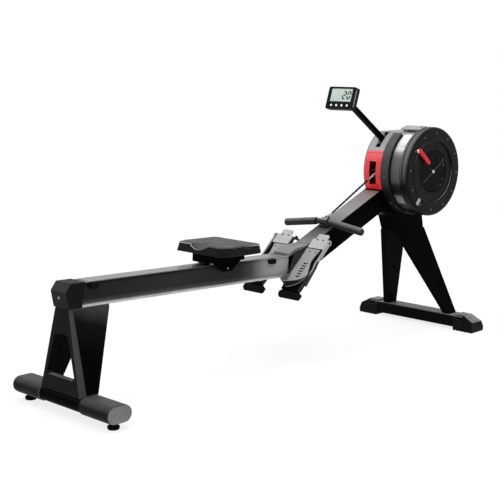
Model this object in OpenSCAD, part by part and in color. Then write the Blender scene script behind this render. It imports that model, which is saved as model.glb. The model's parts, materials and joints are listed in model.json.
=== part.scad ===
// Air rowing machine: a seat rolls on a long rail, and a chain from the handle turns a fan.
// Frame: +X runs forward from the seat to the fan, +Y is the rower's left, +Z is up.
// The origin is on the floor, at the machine's middle.

/* [Rail] */
// Length of the rail from its rear end to the joint with the main beam
rail_len = 1139; // [1000:5:1300]
// Width across the rail's top and bottom flanges
rail_w = 86; // [76:1:100]
// Height of the rail
rail_h = 93; // [84:1:110]
// Thickness of the rail's top flange
rail_flange_t = 5; // [4:0.5:8]
// Height of the bright lip along the rail's lower edges
rail_lip_h = 10; // [6:1:14]
// Depth of the rail's sides, in from the edges of its flanges
rail_recess = 8; // [7:0.5:9]
// Wall of the rail's hollow section
rail_wall = 3; // [2:0.5:4]
// Thickness of the steel running strip on the rail
track_t = 1.5; // [1:0.5:2.5]
// Fall of the rail toward the front, in degrees
rail_fall = 1.8; // [0:0.1:4]
// Height of the rail's top at its front end
rail_front_z = 466; // [440:1:500]

/* [Main beam] */
// Length of the level stub between the rail and the bend of the beam
stub_len = 57; // [45:1:75]
// Length of the rising part of the beam, from its bend to its top corner
beam_len = 613; // [580:1:650]
// Rise of the beam above level, in degrees
beam_rise = 22.8; // [20:0.1:25]
// Width of the beam
beam_w = 100; // [90:1:110]
// Depth of the beam, square to its top
beam_h = 96; // [88:1:105]
// Wall of the beam
beam_wall = 3; // [2:0.5:4]
// Thickness of the trim plate on the beam
trim_t = 2; // [1.5:0.5:3]

/* [Rear leg] */
// Distance of the rear foot's centre line behind the rail's rear end
rear_foot_back = 21; // [15:1:30]
// Length of the rear foot without its end caps
rear_foot_len = 584; // [520:2:640]
// Depth of the rear foot, front to back
rear_foot_d = 112; // [90:1:125]
// Height of the rear foot's oval section
rear_foot_h = 66; // [54:1:74]
// Height of the levelling feet, from the floor to the oval foot
leveller_h = 28; // [24:1:36]
// Diameter of a levelling foot's pad
leveller_d = 46; // [36:1:56]
// Distance of each levelling foot in from the end of the rear foot
leveller_in = 33; // [30:1:60]
// Half width of the rear leg at its foot
leg_foot_y = 120; // [100:1:140]
// Half width of the rear leg below the rail
leg_neck_y = 42; // [38:1:46]
// Depth of the rear leg at its foot
leg_foot_d = 88; // [70:1:100]
// Depth of the rear leg below the rail
leg_neck_d = 188; // [150:1:200]
// Sheet thickness of the rear leg
leg_wall = 4; // [3:0.5:6]
// Thickness of the rear leg's gloss side panels
panel_t = 3; // [2:0.5:5]

/* [Front legs] */
// Distance of the front foot's centre ahead of the fan's axis
foot_ahead = 184; // [165:1:200]
// Depth of the front foot, front to back
front_foot_d = 98; // [86:1:110]
// Length of the front foot over its end caps
front_foot_len = 700; // [640:2:760]
// Length of one end cap of the front foot
foot_cap_len = 112; // [90:1:125]
// Height of the front foot's end caps
foot_cap_h = 78; // [72:1:90]
// Width of the front foot's tube
foot_tube_w = 90; // [80:1:94]
// Height of the front foot's tube
foot_tube_h = 58; // [48:1:62]
// Gap between the front foot's tube and the floor
foot_tube_gap = 14; // [8:1:18]
// Depth of a front leg at its foot
front_leg_d = 58; // [48:1:66]
// Depth of a front leg at the column
front_leg_top_d = 203; // [180:1:215]
// Thickness of a front leg, measured across the machine
front_leg_t = 38; // [30:1:44]
// Distance from the middle to a front leg's outer face at the foot
front_leg_y = 205; // [180:1:225]
// Height at which the front legs meet the column
leg_top_z = 492; // [470:1:505]
// Wall of the front legs
front_leg_wall = 3; // [2:0.5:5]

/* [Fan] */
// Distance of the fan's axis ahead of the beam's top corner
hub_ahead = 202; // [195:1:210]
// Height of the fan's axis above the beam's top corner
hub_up = 83; // [76:1:90]
// Outer radius of the centre housing
drum_r = 212; // [205:1:218]
// Radius of the fan's outer cover
cover_r = 210; // [200:1:215]
// Radius of the perforated drum
mesh_r = 199; // [192:1:200]
// Half width of the centre housing
box_y = 50; // [46:1:54]
// Width of the dark flange beside the centre housing
flange_w = 45; // [38:1:52]
// Width of the perforated drum
mesh_w = 62; // [54:1:70]
// Depth of the fan's outer cover
cover_w = 43; // [38:1:50]
// Wall of the housings
shell_t = 4; // [3:0.5:6]
// Height of the housing's level top above the fan's axis
flat_up = 185; // [176:1:190]
// Radius of the flywheel
flywheel_r = 182; // [165:1:184]
// Width of the flywheel's fan
flywheel_w = 44; // [34:1:48]
// Number of fan blades
blade_n = 16; // [8:1:20]
// Diameter of the flywheel's axle
axle_d = 17; // [15:1:20]
// Pitch radius of the chain sprocket
sprocket_r = 30; // [26:1:38]
// Number of screws around the outer cover
cover_screw_n = 12; // [8:1:16]
// Radius of the raised ring on the outer cover
ring_r = 154; // [148:1:158]
// Radius of the air grille
grille_r = 102; // [90:1:110]

/* [Seat] */
// Distance of the seat's centre behind the rail joint
seat_back = 390; // [360:1:450]
// Length of the seat, front to back
seat_len = 228; // [200:2:250]
// Width of the seat
seat_w = 284; // [260:2:310]
// Height of the seat's base above the rail
seat_base_up = 46; // [44:1:56]
// Thickness of the seat with its pan
seat_t = 40; // [34:1:50]
// Length of the carriage under the seat
carriage_len = 200; // [180:1:210]
// Width of the carriage
carriage_w = 104; // [102:1:112]
// Radius of the top rollers
top_roller_r = 15; // [12:0.5:16]
// Radius of the lower rollers
low_roller_r = 11; // [9:0.5:12]

/* [Footrest] */
// Distance between the middles of the two footplates
foot_spacing = 216; // [212:1:240]
// Width of a footplate
plate_w = 95; // [86:1:98]
// Slope of the footplates, in degrees
plate_slope = 42.5; // [38:0.5:46]
// Length of the footrest's base board
board_len = 322; // [310:1:335]
// Length of the toe plate without its tab
toe_len = 52; // [46:1:60]
// Length of the toe plate's tab
toe_tab_len = 28; // [20:1:34]
// Width of the toe plate's tab
toe_tab_w = 61; // [50:1:70]
// Length of the sliding heel plate
heel_len = 216; // [206:1:218]
// Thickness of the footplates
plate_t = 6; // [4:0.5:8]

/* [Handle] */
// Length of the handle from end to end
handle_len = 460; // [400:5:520]
// Diameter of the handle's grips
grip_d = 31; // [26:0.5:36]
// Diameter of the handle's bar
bar_d = 22; // [18:0.5:24]
// Droop of each half of the handle, in degrees
handle_droop = 8; // [0:0.5:12]
// Slope of the chain at rest, in degrees
chain_slope = 27.5; // [24:0.5:30]
// Distance from the chain port to the handle's middle
chain_reach = 422; // [412:1:430]

/* [Monitor] */
// Length of the monitor arm between its pivots
arm_len = 355; // [320:1:380]
// Rise of the monitor arm toward the rower, in degrees
arm_rise = 35.4; // [30:0.1:42]
// Width of the monitor arm
arm_w = 24; // [18:1:26]
// Width of the monitor
monitor_w = 160; // [140:1:190]
// Height of the monitor
monitor_h = 104; // [96:1:130]
// Thickness of the monitor
monitor_t = 27; // [22:1:34]
// Lean of the monitor's face back from upright, in degrees
monitor_lean = 18.5; // [10:0.5:30]
// Diameter of a monitor button
button_d = 11; // [8:0.5:13]

/* [Hidden] */

// Places worked out from the sizes above
rail_dir = [cos(rail_fall), -sin(rail_fall)];
beam_dir = [cos(beam_rise), sin(beam_rise)];
beam_up = [-sin(beam_rise), cos(beam_rise)];
rear_reach = rail_len * cos(rail_fall) + rear_foot_back + rear_foot_d / 2;
front_reach = stub_len * rail_dir[0] + beam_len * beam_dir[0] + hub_ahead
    + foot_ahead + front_foot_d / 2;
joint_x = (rear_reach - front_reach) / 2;
joint = [joint_x, rail_front_z];
bend = joint + stub_len * rail_dir;
beam_end = bend + beam_len * beam_dir;
hub = beam_end + [hub_ahead, hub_up];
front_foot_x = hub[0] + foot_ahead;
rail_rear = joint - rail_len * rail_dir;
rear_foot_x = rail_rear[0] - rear_foot_back;
rear_foot_z = leveller_h + rear_foot_h / 2;
leveller_y = rear_foot_len / 2 - leveller_in;

seat_gap = 0.3;         // running gap between moving parts
fit_gap = 0.05;         // radial clearance of a shaft in its bearing
post = 1;               // size of the corner pieces that a hull joins
tube_wall = 3;          // wall of both floor tubes
beam_past = 60;         // how far the beam runs past its top corner, into the housing
fine = 64;
coarse = 32;

// Point where the line through p at angle a meets the line through q at angle b
function meet(p, a, q, b) =
    p + [cos(a), sin(a)] * ((q[0] - p[0]) * sin(b) - (q[1] - p[1]) * cos(b)) / sin(b - a);
rail_down = [-sin(rail_fall), -cos(rail_fall)];
// Side outline of the beam and its stub, drawn in by inset, its ends drawn out by over
function beam_outline(inset, over = 0) =
    let (top_a = joint + inset * rail_down - over * rail_dir,
         low_a = joint + (rail_h - inset) * rail_down - over * rail_dir,
         top_c = beam_end - inset * beam_up + (beam_past + over) * beam_dir,
         low_c = beam_end - (beam_h - inset) * beam_up + (beam_past + over) * beam_dir)
    [top_a, meet(top_a, -rail_fall, top_c, beam_rise), top_c,
     low_c, meet(low_a, -rail_fall, low_c, beam_rise), low_a];
// Points scaled about their middle
function shrunk(points, k) =
    let (mid = [for (i = [0, 1]) sum([for (p = points) p[i]]) / len(points)])
    [for (p = points) mid + k * (p - mid)];
function sum(v, i = 0) = i < len(v) ? v[i] + sum(v, i + 1) : 0;
function polar(r, a) = r * [cos(a), sin(a)];

// Extrudes a side outline across the machine, w wide, about y = mid_y
module side_profile(w, mid_y = 0) {
    translate([0, mid_y + w / 2, 0]) rotate([90, 0, 0]) linear_extrude(w) children();
}
// Rail's frame: origin on the rail's top, s behind the joint
module on_rail(s = 0) {
    translate([joint[0], 0, joint[1]]) rotate([0, rail_fall, 0]) translate([-s, 0, 0]) children();
}
// Beam's frame: on its top, s along it from the bend
module on_beam(s = 0) {
    translate([bend[0], 0, bend[1]]) rotate([0, -beam_rise, 0]) translate([s, 0, 0]) children();
}
// Fan's frame: on its axis, with +Z to the right (-Y)
module on_hub(y = 0) {
    translate([hub[0], y, hub[1]]) rotate([90, 0, 0]) children();
}
// A cylinder along Y with its middle at y
module across(r, w, y = 0, fn = fine) {
    translate([0, y + w / 2, 0]) rotate([90, 0, 0]) cylinder(r = r, h = w, $fn = fn);
}
module ring(r_out, r_in, h) {
    difference() {
        cylinder(r = r_out, h = h, $fn = fine * 2);
        translate([0, 0, -1]) cylinder(r = r_in, h = h + 2, $fn = fine * 2);
    }
}
// A 2D sector from angle a0 to a1, wider than the fan
sector_r = drum_r + 150;
module sector(a0, a1) {
    steps = max(2, ceil((a1 - a0) / 30));
    polygon(concat([[0, 0]],
        [for (i = [0:steps]) polar(sector_r, a0 + (a1 - a0) * i / steps)]));
}
module rounded_rect(w, h, r) {
    translate([-w / 2, -h / 2 + r]) square([w, h - 2 * r]);
    translate([-w / 2 + r, -h / 2]) square([w - 2 * r, h]);
    for (x = [-1, 1], y = [-1, 1])
        translate([x * (w / 2 - r), y * (h / 2 - r)]) circle(r, $fn = coarse);
}
module oval(w, h) {
    square([w - h, h], center = true);
    for (x = [-1, 1]) translate([x * (w - h) / 2, 0]) circle(h / 2, $fn = fine);
}

// ---- Rail ----
rail_web_y = rail_w / 2 - rail_recess;
module rail_section() {
    difference() {
        union() {
            translate([-rail_w / 2, -rail_flange_t]) square([rail_w, rail_flange_t]);
            translate([-rail_web_y, -rail_h]) square([2 * rail_web_y, rail_h - 1]);
            translate([-rail_w / 2, -rail_h]) square([rail_w, rail_lip_h]);
        }
        translate([-rail_web_y + rail_wall, -rail_h + rail_wall])
            square([2 * (rail_web_y - rail_wall), rail_h - rail_flange_t - rail_wall]);
    }
}
module monorail() {
    color("dimgray") on_rail(rail_len) rotate([90, 0, 90])
        linear_extrude(rail_len) rail_section();
}
track_start = 50;
track_end = 16;
track_edge = 4;
module rail_track() {
    color("silver") on_rail(rail_len - track_start)
        translate([0, -rail_w / 2 + track_edge, 0])
            cube([rail_len - track_start - track_end, rail_w - 2 * track_edge, track_t]);
}
// Rubber stops on both sides, at each end of the seat's travel
stop_r = 11;
stop_len = 17;
stop_long = 16;         // the stops are drawn out this far, away from the seat
stop_front = 121;
stop_rear_in = 78;      // rear stops' distance from the rail's rear end
low_roller_z = -rail_flange_t - low_roller_r - seat_gap;
module rail_stops() {
    color("black") for (end = [-1, 1], side = [-1, 1])
        on_rail(end < 0 ? stop_front : rail_len - stop_rear_in)
            translate([-end * stop_long / 2, 0, low_roller_z])
                side_profile(stop_len, side * (rail_web_y + stop_len / 2))
                    oval(2 * stop_r + stop_long, 2 * stop_r);
}
cap_out = 63;           // how far the end cap stands behind the rail
cap_foot_out = 49;      // the same at its foot
cap_over = 30;          // how far it covers the rail
cap_foot_over = 14;
cap_wall = 3;
cap_chamfer = 30;
cap_slope = 24;         // run of the sloping face at its top
module rail_end_cap() {
    outer = [[-cap_foot_out, -rail_h], [-cap_out, -cap_chamfer], [-cap_out + cap_slope, cap_wall],
        [cap_over, cap_wall], [cap_foot_over, -rail_h]];
    color("#1a1a1a") on_rail(rail_len) difference() {
        side_profile(rail_w + 2 * cap_wall) polygon(outer);
        translate([0, -rail_w / 2, -rail_h - 1]) cube([cap_over + 1, rail_w, rail_h + 1]);
        translate([-cap_foot_out + 2 * cap_wall, -rail_w / 2, -rail_h - 1])
            cube([cap_foot_out, rail_w, rail_h - cap_chamfer / 2]);
    }
}

// ---- Rear foot and leg ----
module at_rear_foot() {
    translate([rear_foot_x, 0, rear_foot_z]) rotate([90, 0, 0]) children();
}
sleeve_gap = 7;         // from the rear leg to the sleeves
sleeve_len = rear_foot_len / 2 - leg_foot_y - sleeve_gap;
sleeve_t = 4;
tube_in = 2;            // the tube stops this far inside the sleeves' ends
bolt_r = 5;
bolt_gap = 1;
module bolt_hole() {
    rotate([90, 0, 0]) cylinder(r = bolt_r + bolt_gap, h = rear_foot_h, $fn = coarse);
}
module rear_foot_tube() {
    w = rear_foot_d - 2 * sleeve_t;
    h = rear_foot_h - 2 * sleeve_t;
    long = rear_foot_len - 2 * tube_in;
    color("#202020") at_rear_foot() translate([0, 0, -long / 2]) difference() {
        linear_extrude(long) oval(w, h);
        translate([0, 0, -1]) linear_extrude(long + 2) oval(w - 2 * tube_wall, h - 2 * tube_wall);
        for (side = [-1, 1]) translate([0, 0, long / 2 + side * leveller_y]) bolt_hole();
    }
}
foot_end_t = 6;
foot_end_in = 1;        // the end caps are this much smaller all round than the sleeves
module rear_foot_ends() {
    mid = (rear_foot_len - sleeve_len) / 2;
    color("#2b2b2b") for (side = [-1, 1]) at_rear_foot() {
        translate([0, 0, side * mid - sleeve_len / 2]) difference() {
            linear_extrude(sleeve_len) oval(rear_foot_d, rear_foot_h);
            translate([0, 0, -1]) linear_extrude(sleeve_len + 2)
                oval(rear_foot_d - 2 * sleeve_t, rear_foot_h - 2 * sleeve_t);
            translate([0, 0, sleeve_len / 2 + side * (leveller_y - mid)]) bolt_hole();
        }
        translate([0, 0, side * (rear_foot_len + foot_end_t) / 2 - foot_end_t / 2])
            linear_extrude(foot_end_t)
                oval(rear_foot_d - 2 * foot_end_in, rear_foot_h - 2 * foot_end_in);
    }
}
bolt_up = 22;           // how far a levelling bolt reaches up into the foot
nut_r = 10;
pad_t = 6;              // height of each of a levelling pad's two bands
pad_bevel = 2;
pad_dome = 5;
pad_top_r = 12;
module levelling_feet() {
    r = leveller_d / 2;
    top = 2 * pad_t + pad_dome;
    color("black") for (side = [-1, 1]) translate([rear_foot_x, side * leveller_y, 0]) {
        cylinder(r1 = r - pad_bevel, r2 = r, h = pad_t, $fn = fine);
        translate([0, 0, pad_t]) cylinder(r = r, h = pad_t, $fn = fine);
        translate([0, 0, 2 * pad_t]) cylinder(r1 = r, r2 = pad_top_r, h = pad_dome, $fn = fine);
        cylinder(r = bolt_r, h = leveller_h + bolt_up, $fn = coarse);
        translate([0, 0, top]) cylinder(r = nut_r, h = leveller_h - top - seat_gap, $fn = coarse);
    }
}
// A solid wedge between a level rectangle at the foot and a sloping one at the top
leg_behind = 46;        // the leg's rear face at its foot, behind the foot's centre line
leg_top_behind = 26;    // the same below the rail
leg_rear_x = rear_foot_x - leg_behind;
leg_rear_top_x = rear_foot_x - leg_top_behind;
leg_foot_z = rear_foot_z + rear_foot_h / 2 - sleeve_t;
function rail_low_z(x) = joint[1] - (x - joint[0]) * tan(rail_fall) - rail_h / cos(rail_fall);
module leg_wedge(inset, front_extra = 0, over = 0) {
    x0 = leg_rear_x + inset;
    x1 = leg_rear_x + leg_foot_d - inset + front_extra;
    x2 = leg_rear_top_x + inset;
    x3 = leg_rear_top_x + leg_neck_d - inset + front_extra;
    y0 = leg_foot_y - inset;
    y1 = leg_neck_y - inset;
    z0 = leg_foot_z - over;
    polyhedron(
        points = [[x0, -y0, z0], [x1, -y0, z0], [x1, y0, z0], [x0, y0, z0],
            [x2, -y1, rail_low_z(x2) + over], [x3, -y1, rail_low_z(x3) + over],
            [x3, y1, rail_low_z(x3) + over], [x2, y1, rail_low_z(x2) + over]],
        faces = [[0, 1, 2, 3], [4, 7, 6], [4, 6, 5], [0, 4, 5], [0, 5, 1],
            [2, 6, 7], [2, 7, 3], [1, 5, 6], [1, 6, 2], [3, 7, 4], [3, 4, 0]]);
}
window_low = 148;
window_high = 312;
window_low_y = 84;      // half width of the window at its foot
window_high_y = 42;
window_cut_y = 10;      // width and height of its cut corners
window_cut_z = 12;
window_reach = 60;
window_lip = 4;         // the window's edge is turned in, this thick and this deep
window_lip_d = 30;
// The window's outline, grown by g, through the rear leg's rear face
module window(g, back, depth) {
    y0 = window_low_y + g;
    y1 = window_high_y + g;
    z0 = window_low - g;
    z1 = window_high + g;
    half = [[y0 - window_cut_y, z0], [y0, z0 + window_cut_z], [y1, z1 - window_cut_z],
        [y1 - window_cut_y, z1]];
    translate([leg_rear_x - back, 0, 0]) rotate([90, 0, 90]) linear_extrude(depth)
        polygon(concat(half, [for (i = [3:-1:0]) [-half[i][0], half[i][1]]]));
}
module rear_leg() {
    color("#262626") {
        difference() {
            leg_wedge(0);
            leg_wedge(leg_wall, front_extra = 40, over = 1);
            window(0, window_reach / 3, window_reach);
        }
        difference() {
            intersection() {
                leg_wedge(0);
                window(window_lip, 0, window_lip_d);
            }
            window(0, 1, window_reach);
        }
    }
}
// Gloss panels on the outsides of the rear leg, ahead of its rear corner strip
strip_foot = 34;        // width of the corner strip at the foot
strip_neck = 18;
panel_off = 0.2;        // the panels lie this far off the leg
panel_low = 6;          // and stop this far short of its foot
panel_high = 8;         // and of its top
panel_front = 4;        // and of its front edge
module rear_leg_panels() {
    rise = rail_low_z(leg_rear_top_x) - leg_foot_z;
    lean = atan((leg_foot_y - leg_neck_y) / rise);
    top = rise / cos(lean) - panel_high;
    fall = (leg_neck_d - strip_neck - panel_front) * tan(rail_fall);
    color("#0c0c0c") for (side = [-1, 1])
        translate([0, side * (leg_foot_y + panel_off), leg_foot_z]) rotate([side * lean, 0, 0])
            side_profile(panel_t, side * panel_t / 2) polygon([
                [leg_rear_x + strip_foot, panel_low], [leg_rear_x + leg_foot_d, panel_low],
                [leg_rear_top_x + leg_neck_d - panel_front, top - fall],
                [leg_rear_top_x + strip_neck, top]]);
}

// ---- Main beam and joint ----
guide_pin_r = 9;        // spool that the return cord turns round, in the beam's low end
spool_s = 26;           // its place along the beam
spool_z = -60;          // and below the beam's top
module main_beam() {
    color("#111111") {
        difference() {
            side_profile(beam_w) polygon(beam_outline(0));
            side_profile(beam_w - 2 * beam_wall) polygon(beam_outline(beam_wall, 1));
            translate([hub[0], 0, hub[1]]) across(drum_r + seat_gap, beam_w + 2, fn = fine * 2);
        }
        on_beam(spool_s) translate([0, 0, spool_z])
            across(guide_pin_r, beam_w - 2 * beam_wall);
    }
}
trim_start = 88;
trim_end = 16;
trim_edge = 4;          // the trim and the joint's cover stop this far in from the beam's sides
module beam_trim() {
    color("#9a9a9a") on_beam(trim_start) translate([0, trim_edge - beam_w / 2, 0])
        cube([beam_len - trim_start - trim_end, beam_w - 2 * trim_edge, trim_t]);
}
// Cover over the joint: a sloping plate from the rail's top up to the beam's trim
cover_back = 12;
cover_lift = 9;
cover_run = 50;
cover_rise = 18;
cover_gap = 2;          // between the cover and the trim
module joint_cover() {
    low = joint - cover_back * rail_dir;
    high = bend + (trim_start - cover_gap) * beam_dir;
    color("#b8b8b8") side_profile(beam_w - 2 * trim_edge) polygon([
        low, low + [0, cover_lift], low + [cover_run, cover_lift + cover_rise],
        high + trim_t * beam_up, high, bend, joint]);
}
leg_top_back = 73;      // leg's rear top corner, behind the fan's axis
// Height of the beam's underside at x
function beam_low_z(x) = beam_end[1] - beam_h / cos(beam_rise) + (x - beam_end[0]) * tan(beam_rise);
column_back = 200;      // the column's rear corner under the beam, behind the fan's axis
throat_back = 98;       // the foot of the gusset there
throat_down = 225;
column_ahead = 106;     // the column's front corner, under the fan
column_down = 170;
column_in = 100;
column_rear = hub[0] - column_back;
column_wall = 5;
module front_column() {
    top = hub[0] - column_in;
    shape = [[column_rear, beam_low_z(column_rear)], hub - [throat_back, throat_down],
        [hub[0] - leg_top_back, leg_top_z], [hub[0] - leg_top_back + front_leg_top_d, leg_top_z],
        hub + [column_ahead, -column_down], [top, beam_low_z(top)]];
    color("#0e0e0e") difference() {
        side_profile(beam_w) polygon(shape);
        side_profile(beam_w - 2 * column_wall) polygon(shrunk(shape, 0.93));
        translate([hub[0], 0, hub[1]]) across(drum_r + seat_gap, beam_w + 2, fn = fine * 2);
    }
}

// ---- Front legs and foot ----
foot_top = foot_tube_gap + foot_tube_h;
leg_top_out = 55;       // a front leg's outer face at the column
leg_top_in = 24;        // and its inner face
leg_top_short = 46;     // how much shorter its inner face is there, front to back
leg_foot_back = 4;      // a front leg's middle, behind the foot's centre line
// A tapered block from the column down to the front foot, drawn in by inset
module leg_block(inset, side, over = 0) {
    y0 = side * (leg_top_in + inset);
    y1 = side * (leg_top_out - inset);
    hull() {
        translate([hub[0] - leg_top_back, 0, leg_top_z + over - post]) linear_extrude(post) polygon([
            [inset, y0], [front_leg_top_d - leg_top_short - inset, y0],
            [front_leg_top_d - 1.5 * inset, y1], [inset, y1]]);
        translate([front_foot_x - leg_foot_back - front_leg_d / 2 + inset,
            side * (front_leg_y - front_leg_t / 2) - front_leg_t / 2 + inset, foot_top - over])
            cube([front_leg_d - 2 * inset, front_leg_t - 2 * inset, post]);
    }
}
module front_legs() {
    color("#0a0a0a") for (side = [-1, 1]) difference() {
        leg_block(0, side);
        leg_block(front_leg_wall, side, 1);
    }
}
foot_tube_in = 50;      // how far the tube runs into each end cap
foot_tube_corner = 8;
module front_foot_tube() {
    long = front_foot_len - 2 * foot_cap_len + 2 * foot_tube_in;
    color("#161616") translate([front_foot_x, long / 2, foot_tube_gap + foot_tube_h / 2])
        rotate([90, 0, 0]) difference() {
            linear_extrude(long) rounded_rect(foot_tube_w, foot_tube_h, foot_tube_corner);
            translate([0, 0, -1]) linear_extrude(long + 2) rounded_rect(foot_tube_w - 2 * tube_wall,
                foot_tube_h - 2 * tube_wall, foot_tube_corner - tube_wall);
        }
}
// Sculpted boots on the ends of the front foot, each with a ribbed sole
sole_rib_n = 7;
sole_t = 5;             // height of the sole's ribs
rib_share = 0.6;        // a rib's width, as a share of the ribs' pitch
boot_rim_h = 25;        // height of the boot's upright rim
shoulder_in = 4;
shoulder_down = 14;
boot_top_in = 16;       // the boot's flat top lies in from its front and back
boot_top_len = 54;
nose_in = 10;
nose_h = 50;            // height of the boot's outer end
nose_back = 4;
module boot_bar(in, y, top) {
    translate([in - front_foot_d / 2, y, top - post])
        cube([front_foot_d - 2 * in, post, post]);
}
module front_foot_caps() {
    pitch = foot_cap_len / sole_rib_n;
    color("#141414") for (side = [-1, 1]) mirror([0, side < 0 ? 1 : 0, 0])
        translate([front_foot_x, front_foot_len / 2 - foot_cap_len, 0]) difference() {
            union() {
                hull() {
                    translate([-front_foot_d / 2, 0, sole_t])
                        cube([front_foot_d, foot_cap_len, boot_rim_h - sole_t]);
                    boot_bar(shoulder_in, 0, foot_cap_h - shoulder_down);
                    boot_bar(boot_top_in, 0, foot_cap_h);
                    boot_bar(boot_top_in, boot_top_len, foot_cap_h);
                    boot_bar(nose_in, foot_cap_len - nose_back - post, nose_h);
                }
                for (i = [0:sole_rib_n - 1])
                    translate([-front_foot_d / 2, (i + (1 - rib_share) / 2) * pitch, 0])
                        cube([front_foot_d, rib_share * pitch, sole_t + 1]);
            }
            translate([-foot_tube_w / 2, -1, foot_tube_gap])
                cube([foot_tube_w, foot_tube_in + 2, foot_tube_h]);
        }
}

// ---- Footrest ----
heel_back = 85;         // the footplates' lower end, behind and below the rail joint
heel_down = 136;
foot_mid = foot_spacing / 2;
side_wall_t = 2;
board_t = 12;
board_side = plate_w / 2 + 0.5 + side_wall_t;
// Footplate's frame: X runs up the plate, Z is square to it
module on_foot(side) {
    translate([joint[0] - heel_back, side * foot_mid, joint[1] - heel_down])
        rotate([0, -plate_slope, 0]) children();
}
function foot_point(s, z) = joint - [heel_back, heel_down]
    + s * [cos(plate_slope), sin(plate_slope)] + z * [-sin(plate_slope), cos(plate_slope)];
toe_start = board_len - toe_tab_len - toe_len;
bracket_t = foot_mid - board_side - beam_w / 2;
board_in = 12;          // the board starts this far up the plate's line
board_short = 4;        // and stops this far below the toe plate's tab
toe_pad_short = 6;      // the packing under the toe plate stops this far below it
cheek_foot = 30;        // the brackets' lower and upper ends along the board
cheek_head = 40;
// The brackets' corners beside the rail and the beam, from the rail joint
cheek_corners = [[-25, -77], [11, 8], [87, 24], [146, 60], [168, 30]];
module footrest_frame() {
    board_run = board_len - toe_tab_len - board_in - board_short;
    board_mid = -board_t / 2 - plate_t;
    cheek = concat([foot_point(cheek_foot, board_mid)], [for (c = cheek_corners) joint + c],
        [foot_point(toe_start + cheek_head, board_mid)]);
    color("#141414") for (side = [-1, 1]) {
        on_foot(side) {
            translate([board_in, -board_side, -plate_t - board_t])
                cube([board_run, 2 * board_side, board_t - seat_gap]);
            translate([toe_start, -board_side, -plate_t - seat_gap])
                cube([toe_len - toe_pad_short, 2 * board_side, seat_gap]);
            translate([board_in, side > 0 ? board_side - side_wall_t : -board_side,
                -plate_t - board_t])
                cube([board_run, side_wall_t, board_t + plate_t - 2]);
        }
        side_profile(bracket_t, side * (beam_w / 2 + bracket_t / 2)) polygon(cheek);
    }
}
foot_screw_y = 16.5;    // the plates' holes, either side of a line
foot_screw_in = 3;      // this far in from the plate's middle, toward the rail
foot_hole_r = 2.2;
module foot_plate_holes(s, side) {
    for (y = [-1, 1]) translate([s, y * foot_screw_y - side * foot_screw_in, -plate_t - 1])
        cylinder(r = foot_hole_r, h = plate_t + 2, $fn = coarse);
}
toe_screw_s = toe_start + 48;
plate_corner = 7;
tab_corner = 8;
tab_root = 12;          // how far the tab's rounded piece runs into the toe plate
module toe_plates() {
    tab = toe_tab_len + tab_root;
    color("#c6c6c6") for (side = [-1, 1]) on_foot(side) difference() {
        translate([0, 0, -plate_t]) linear_extrude(plate_t) union() {
            translate([toe_start + toe_len / 2, 0]) rounded_rect(toe_len, plate_w, plate_corner);
            translate([toe_start + toe_len - tab_root + tab / 2, 0])
                rounded_rect(tab, toe_tab_w, tab_corner);
        }
        foot_plate_holes(toe_screw_s, side);
    }
}
// Sliding heel plate with its row of slots and its heel cup
heel_gap = 4;
slot_n = 6;
slot_start = 59;
slot_y = 1.5;           // the lowest slot's middle, out from the plate's middle
slot_step = 0.6;
slot_pitch = 14.6;
slot_l = 22;
slot_w = 4;
cup_h = 33;             // wall round the inner half of the heel, and its run up the plate
cup_run = 75;
cup_t = 4;
heel_screw_in = 17;
heel_start = toe_start - heel_gap - heel_len;
// A heel plate's edge, upper end first: back from there, and in from the outer side
heel_edge = [[0, 19], [38, 25], [72, 27], [114, 11], [153, 0], [heel_len - 14, 40], [heel_len, 65]];
// The wall's foot: up from the plate's lower end, and out from its inner side
cup_foot = [[cup_run, 0], [2, 0], [0, 30], [12, 50], [12 + cup_t, 48], [cup_t + 1, 29],
    [cup_t + 2, cup_t], [cup_run, cup_t]];
module heel_plate(side) {
    inner = -side * plate_w / 2;
    color("#c0c0c0") on_foot(side) {
        difference() {
            translate([0, 0, -plate_t]) linear_extrude(plate_t) polygon(concat(
                [for (e = heel_edge) [heel_start + heel_len - e[0], side * (plate_w / 2 - e[1])]],
                [[heel_start + 2, inner], [heel_start + heel_len, inner]]));
            for (i = [0:slot_n - 1])
                translate([heel_start + slot_start + i * slot_pitch, side * (slot_y - i * slot_step),
                    -plate_t - 1])
                    linear_extrude(plate_t + 2) square([slot_w, slot_l], center = true);
            foot_plate_holes(heel_start + heel_len - heel_screw_in, side);
        }
        intersection() {
            translate([0, 0, -1]) linear_extrude(cup_h + 1) polygon(
                [for (c = cup_foot) [heel_start + c[0], inner + side * c[1]]]);
            translate([heel_start, 0, 0]) side_profile(2 * plate_w) polygon([[-1, -1],
                [cup_run, -1], [cup_run, 0], [cup_run / 4, cup_h], [-1, cup_h]]);
        }
    }
}
module heel_plate_left() { heel_plate(1); }
module heel_plate_right() { heel_plate(-1); }
bar_t = 6;
ear_in = 42;            // the bar's eye lies this far below the board's upper end
ear_drop = 2;
ear_r = 13;
ear_hole_r = 4;
bar_taper = 60;         // the bar narrows from here up
bar_step = 140;         // and rises level with the heel plate's top from here
bar_step_up = 6;
bar_low = 4;            // its upper edge below the step, under the plate's top
ear_under = [0, -9];    // the bar's two edges where they run into the eye
ear_over = [-6, 8];
module footrest_bars() {
    ear = [board_len - ear_in, -ear_drop];
    color("#b4b4b4") for (side = [-1, 1]) on_foot(side)
        translate([0, side * (board_side + bar_t / 2), 0]) side_profile(bar_t) difference() {
            union() {
                polygon([[board_in, -plate_t - board_t], [bar_taper, -plate_t - board_t],
                    ear + ear_under, ear + ear_over, [bar_step + 10, bar_step_up - bar_low],
                    [bar_step, -bar_low], [board_in, -bar_low]]);
                translate(ear) circle(ear_r, $fn = fine);
            }
            translate(ear) circle(ear_hole_r, $fn = coarse);
        }
}
bumper_r = 17;
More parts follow.
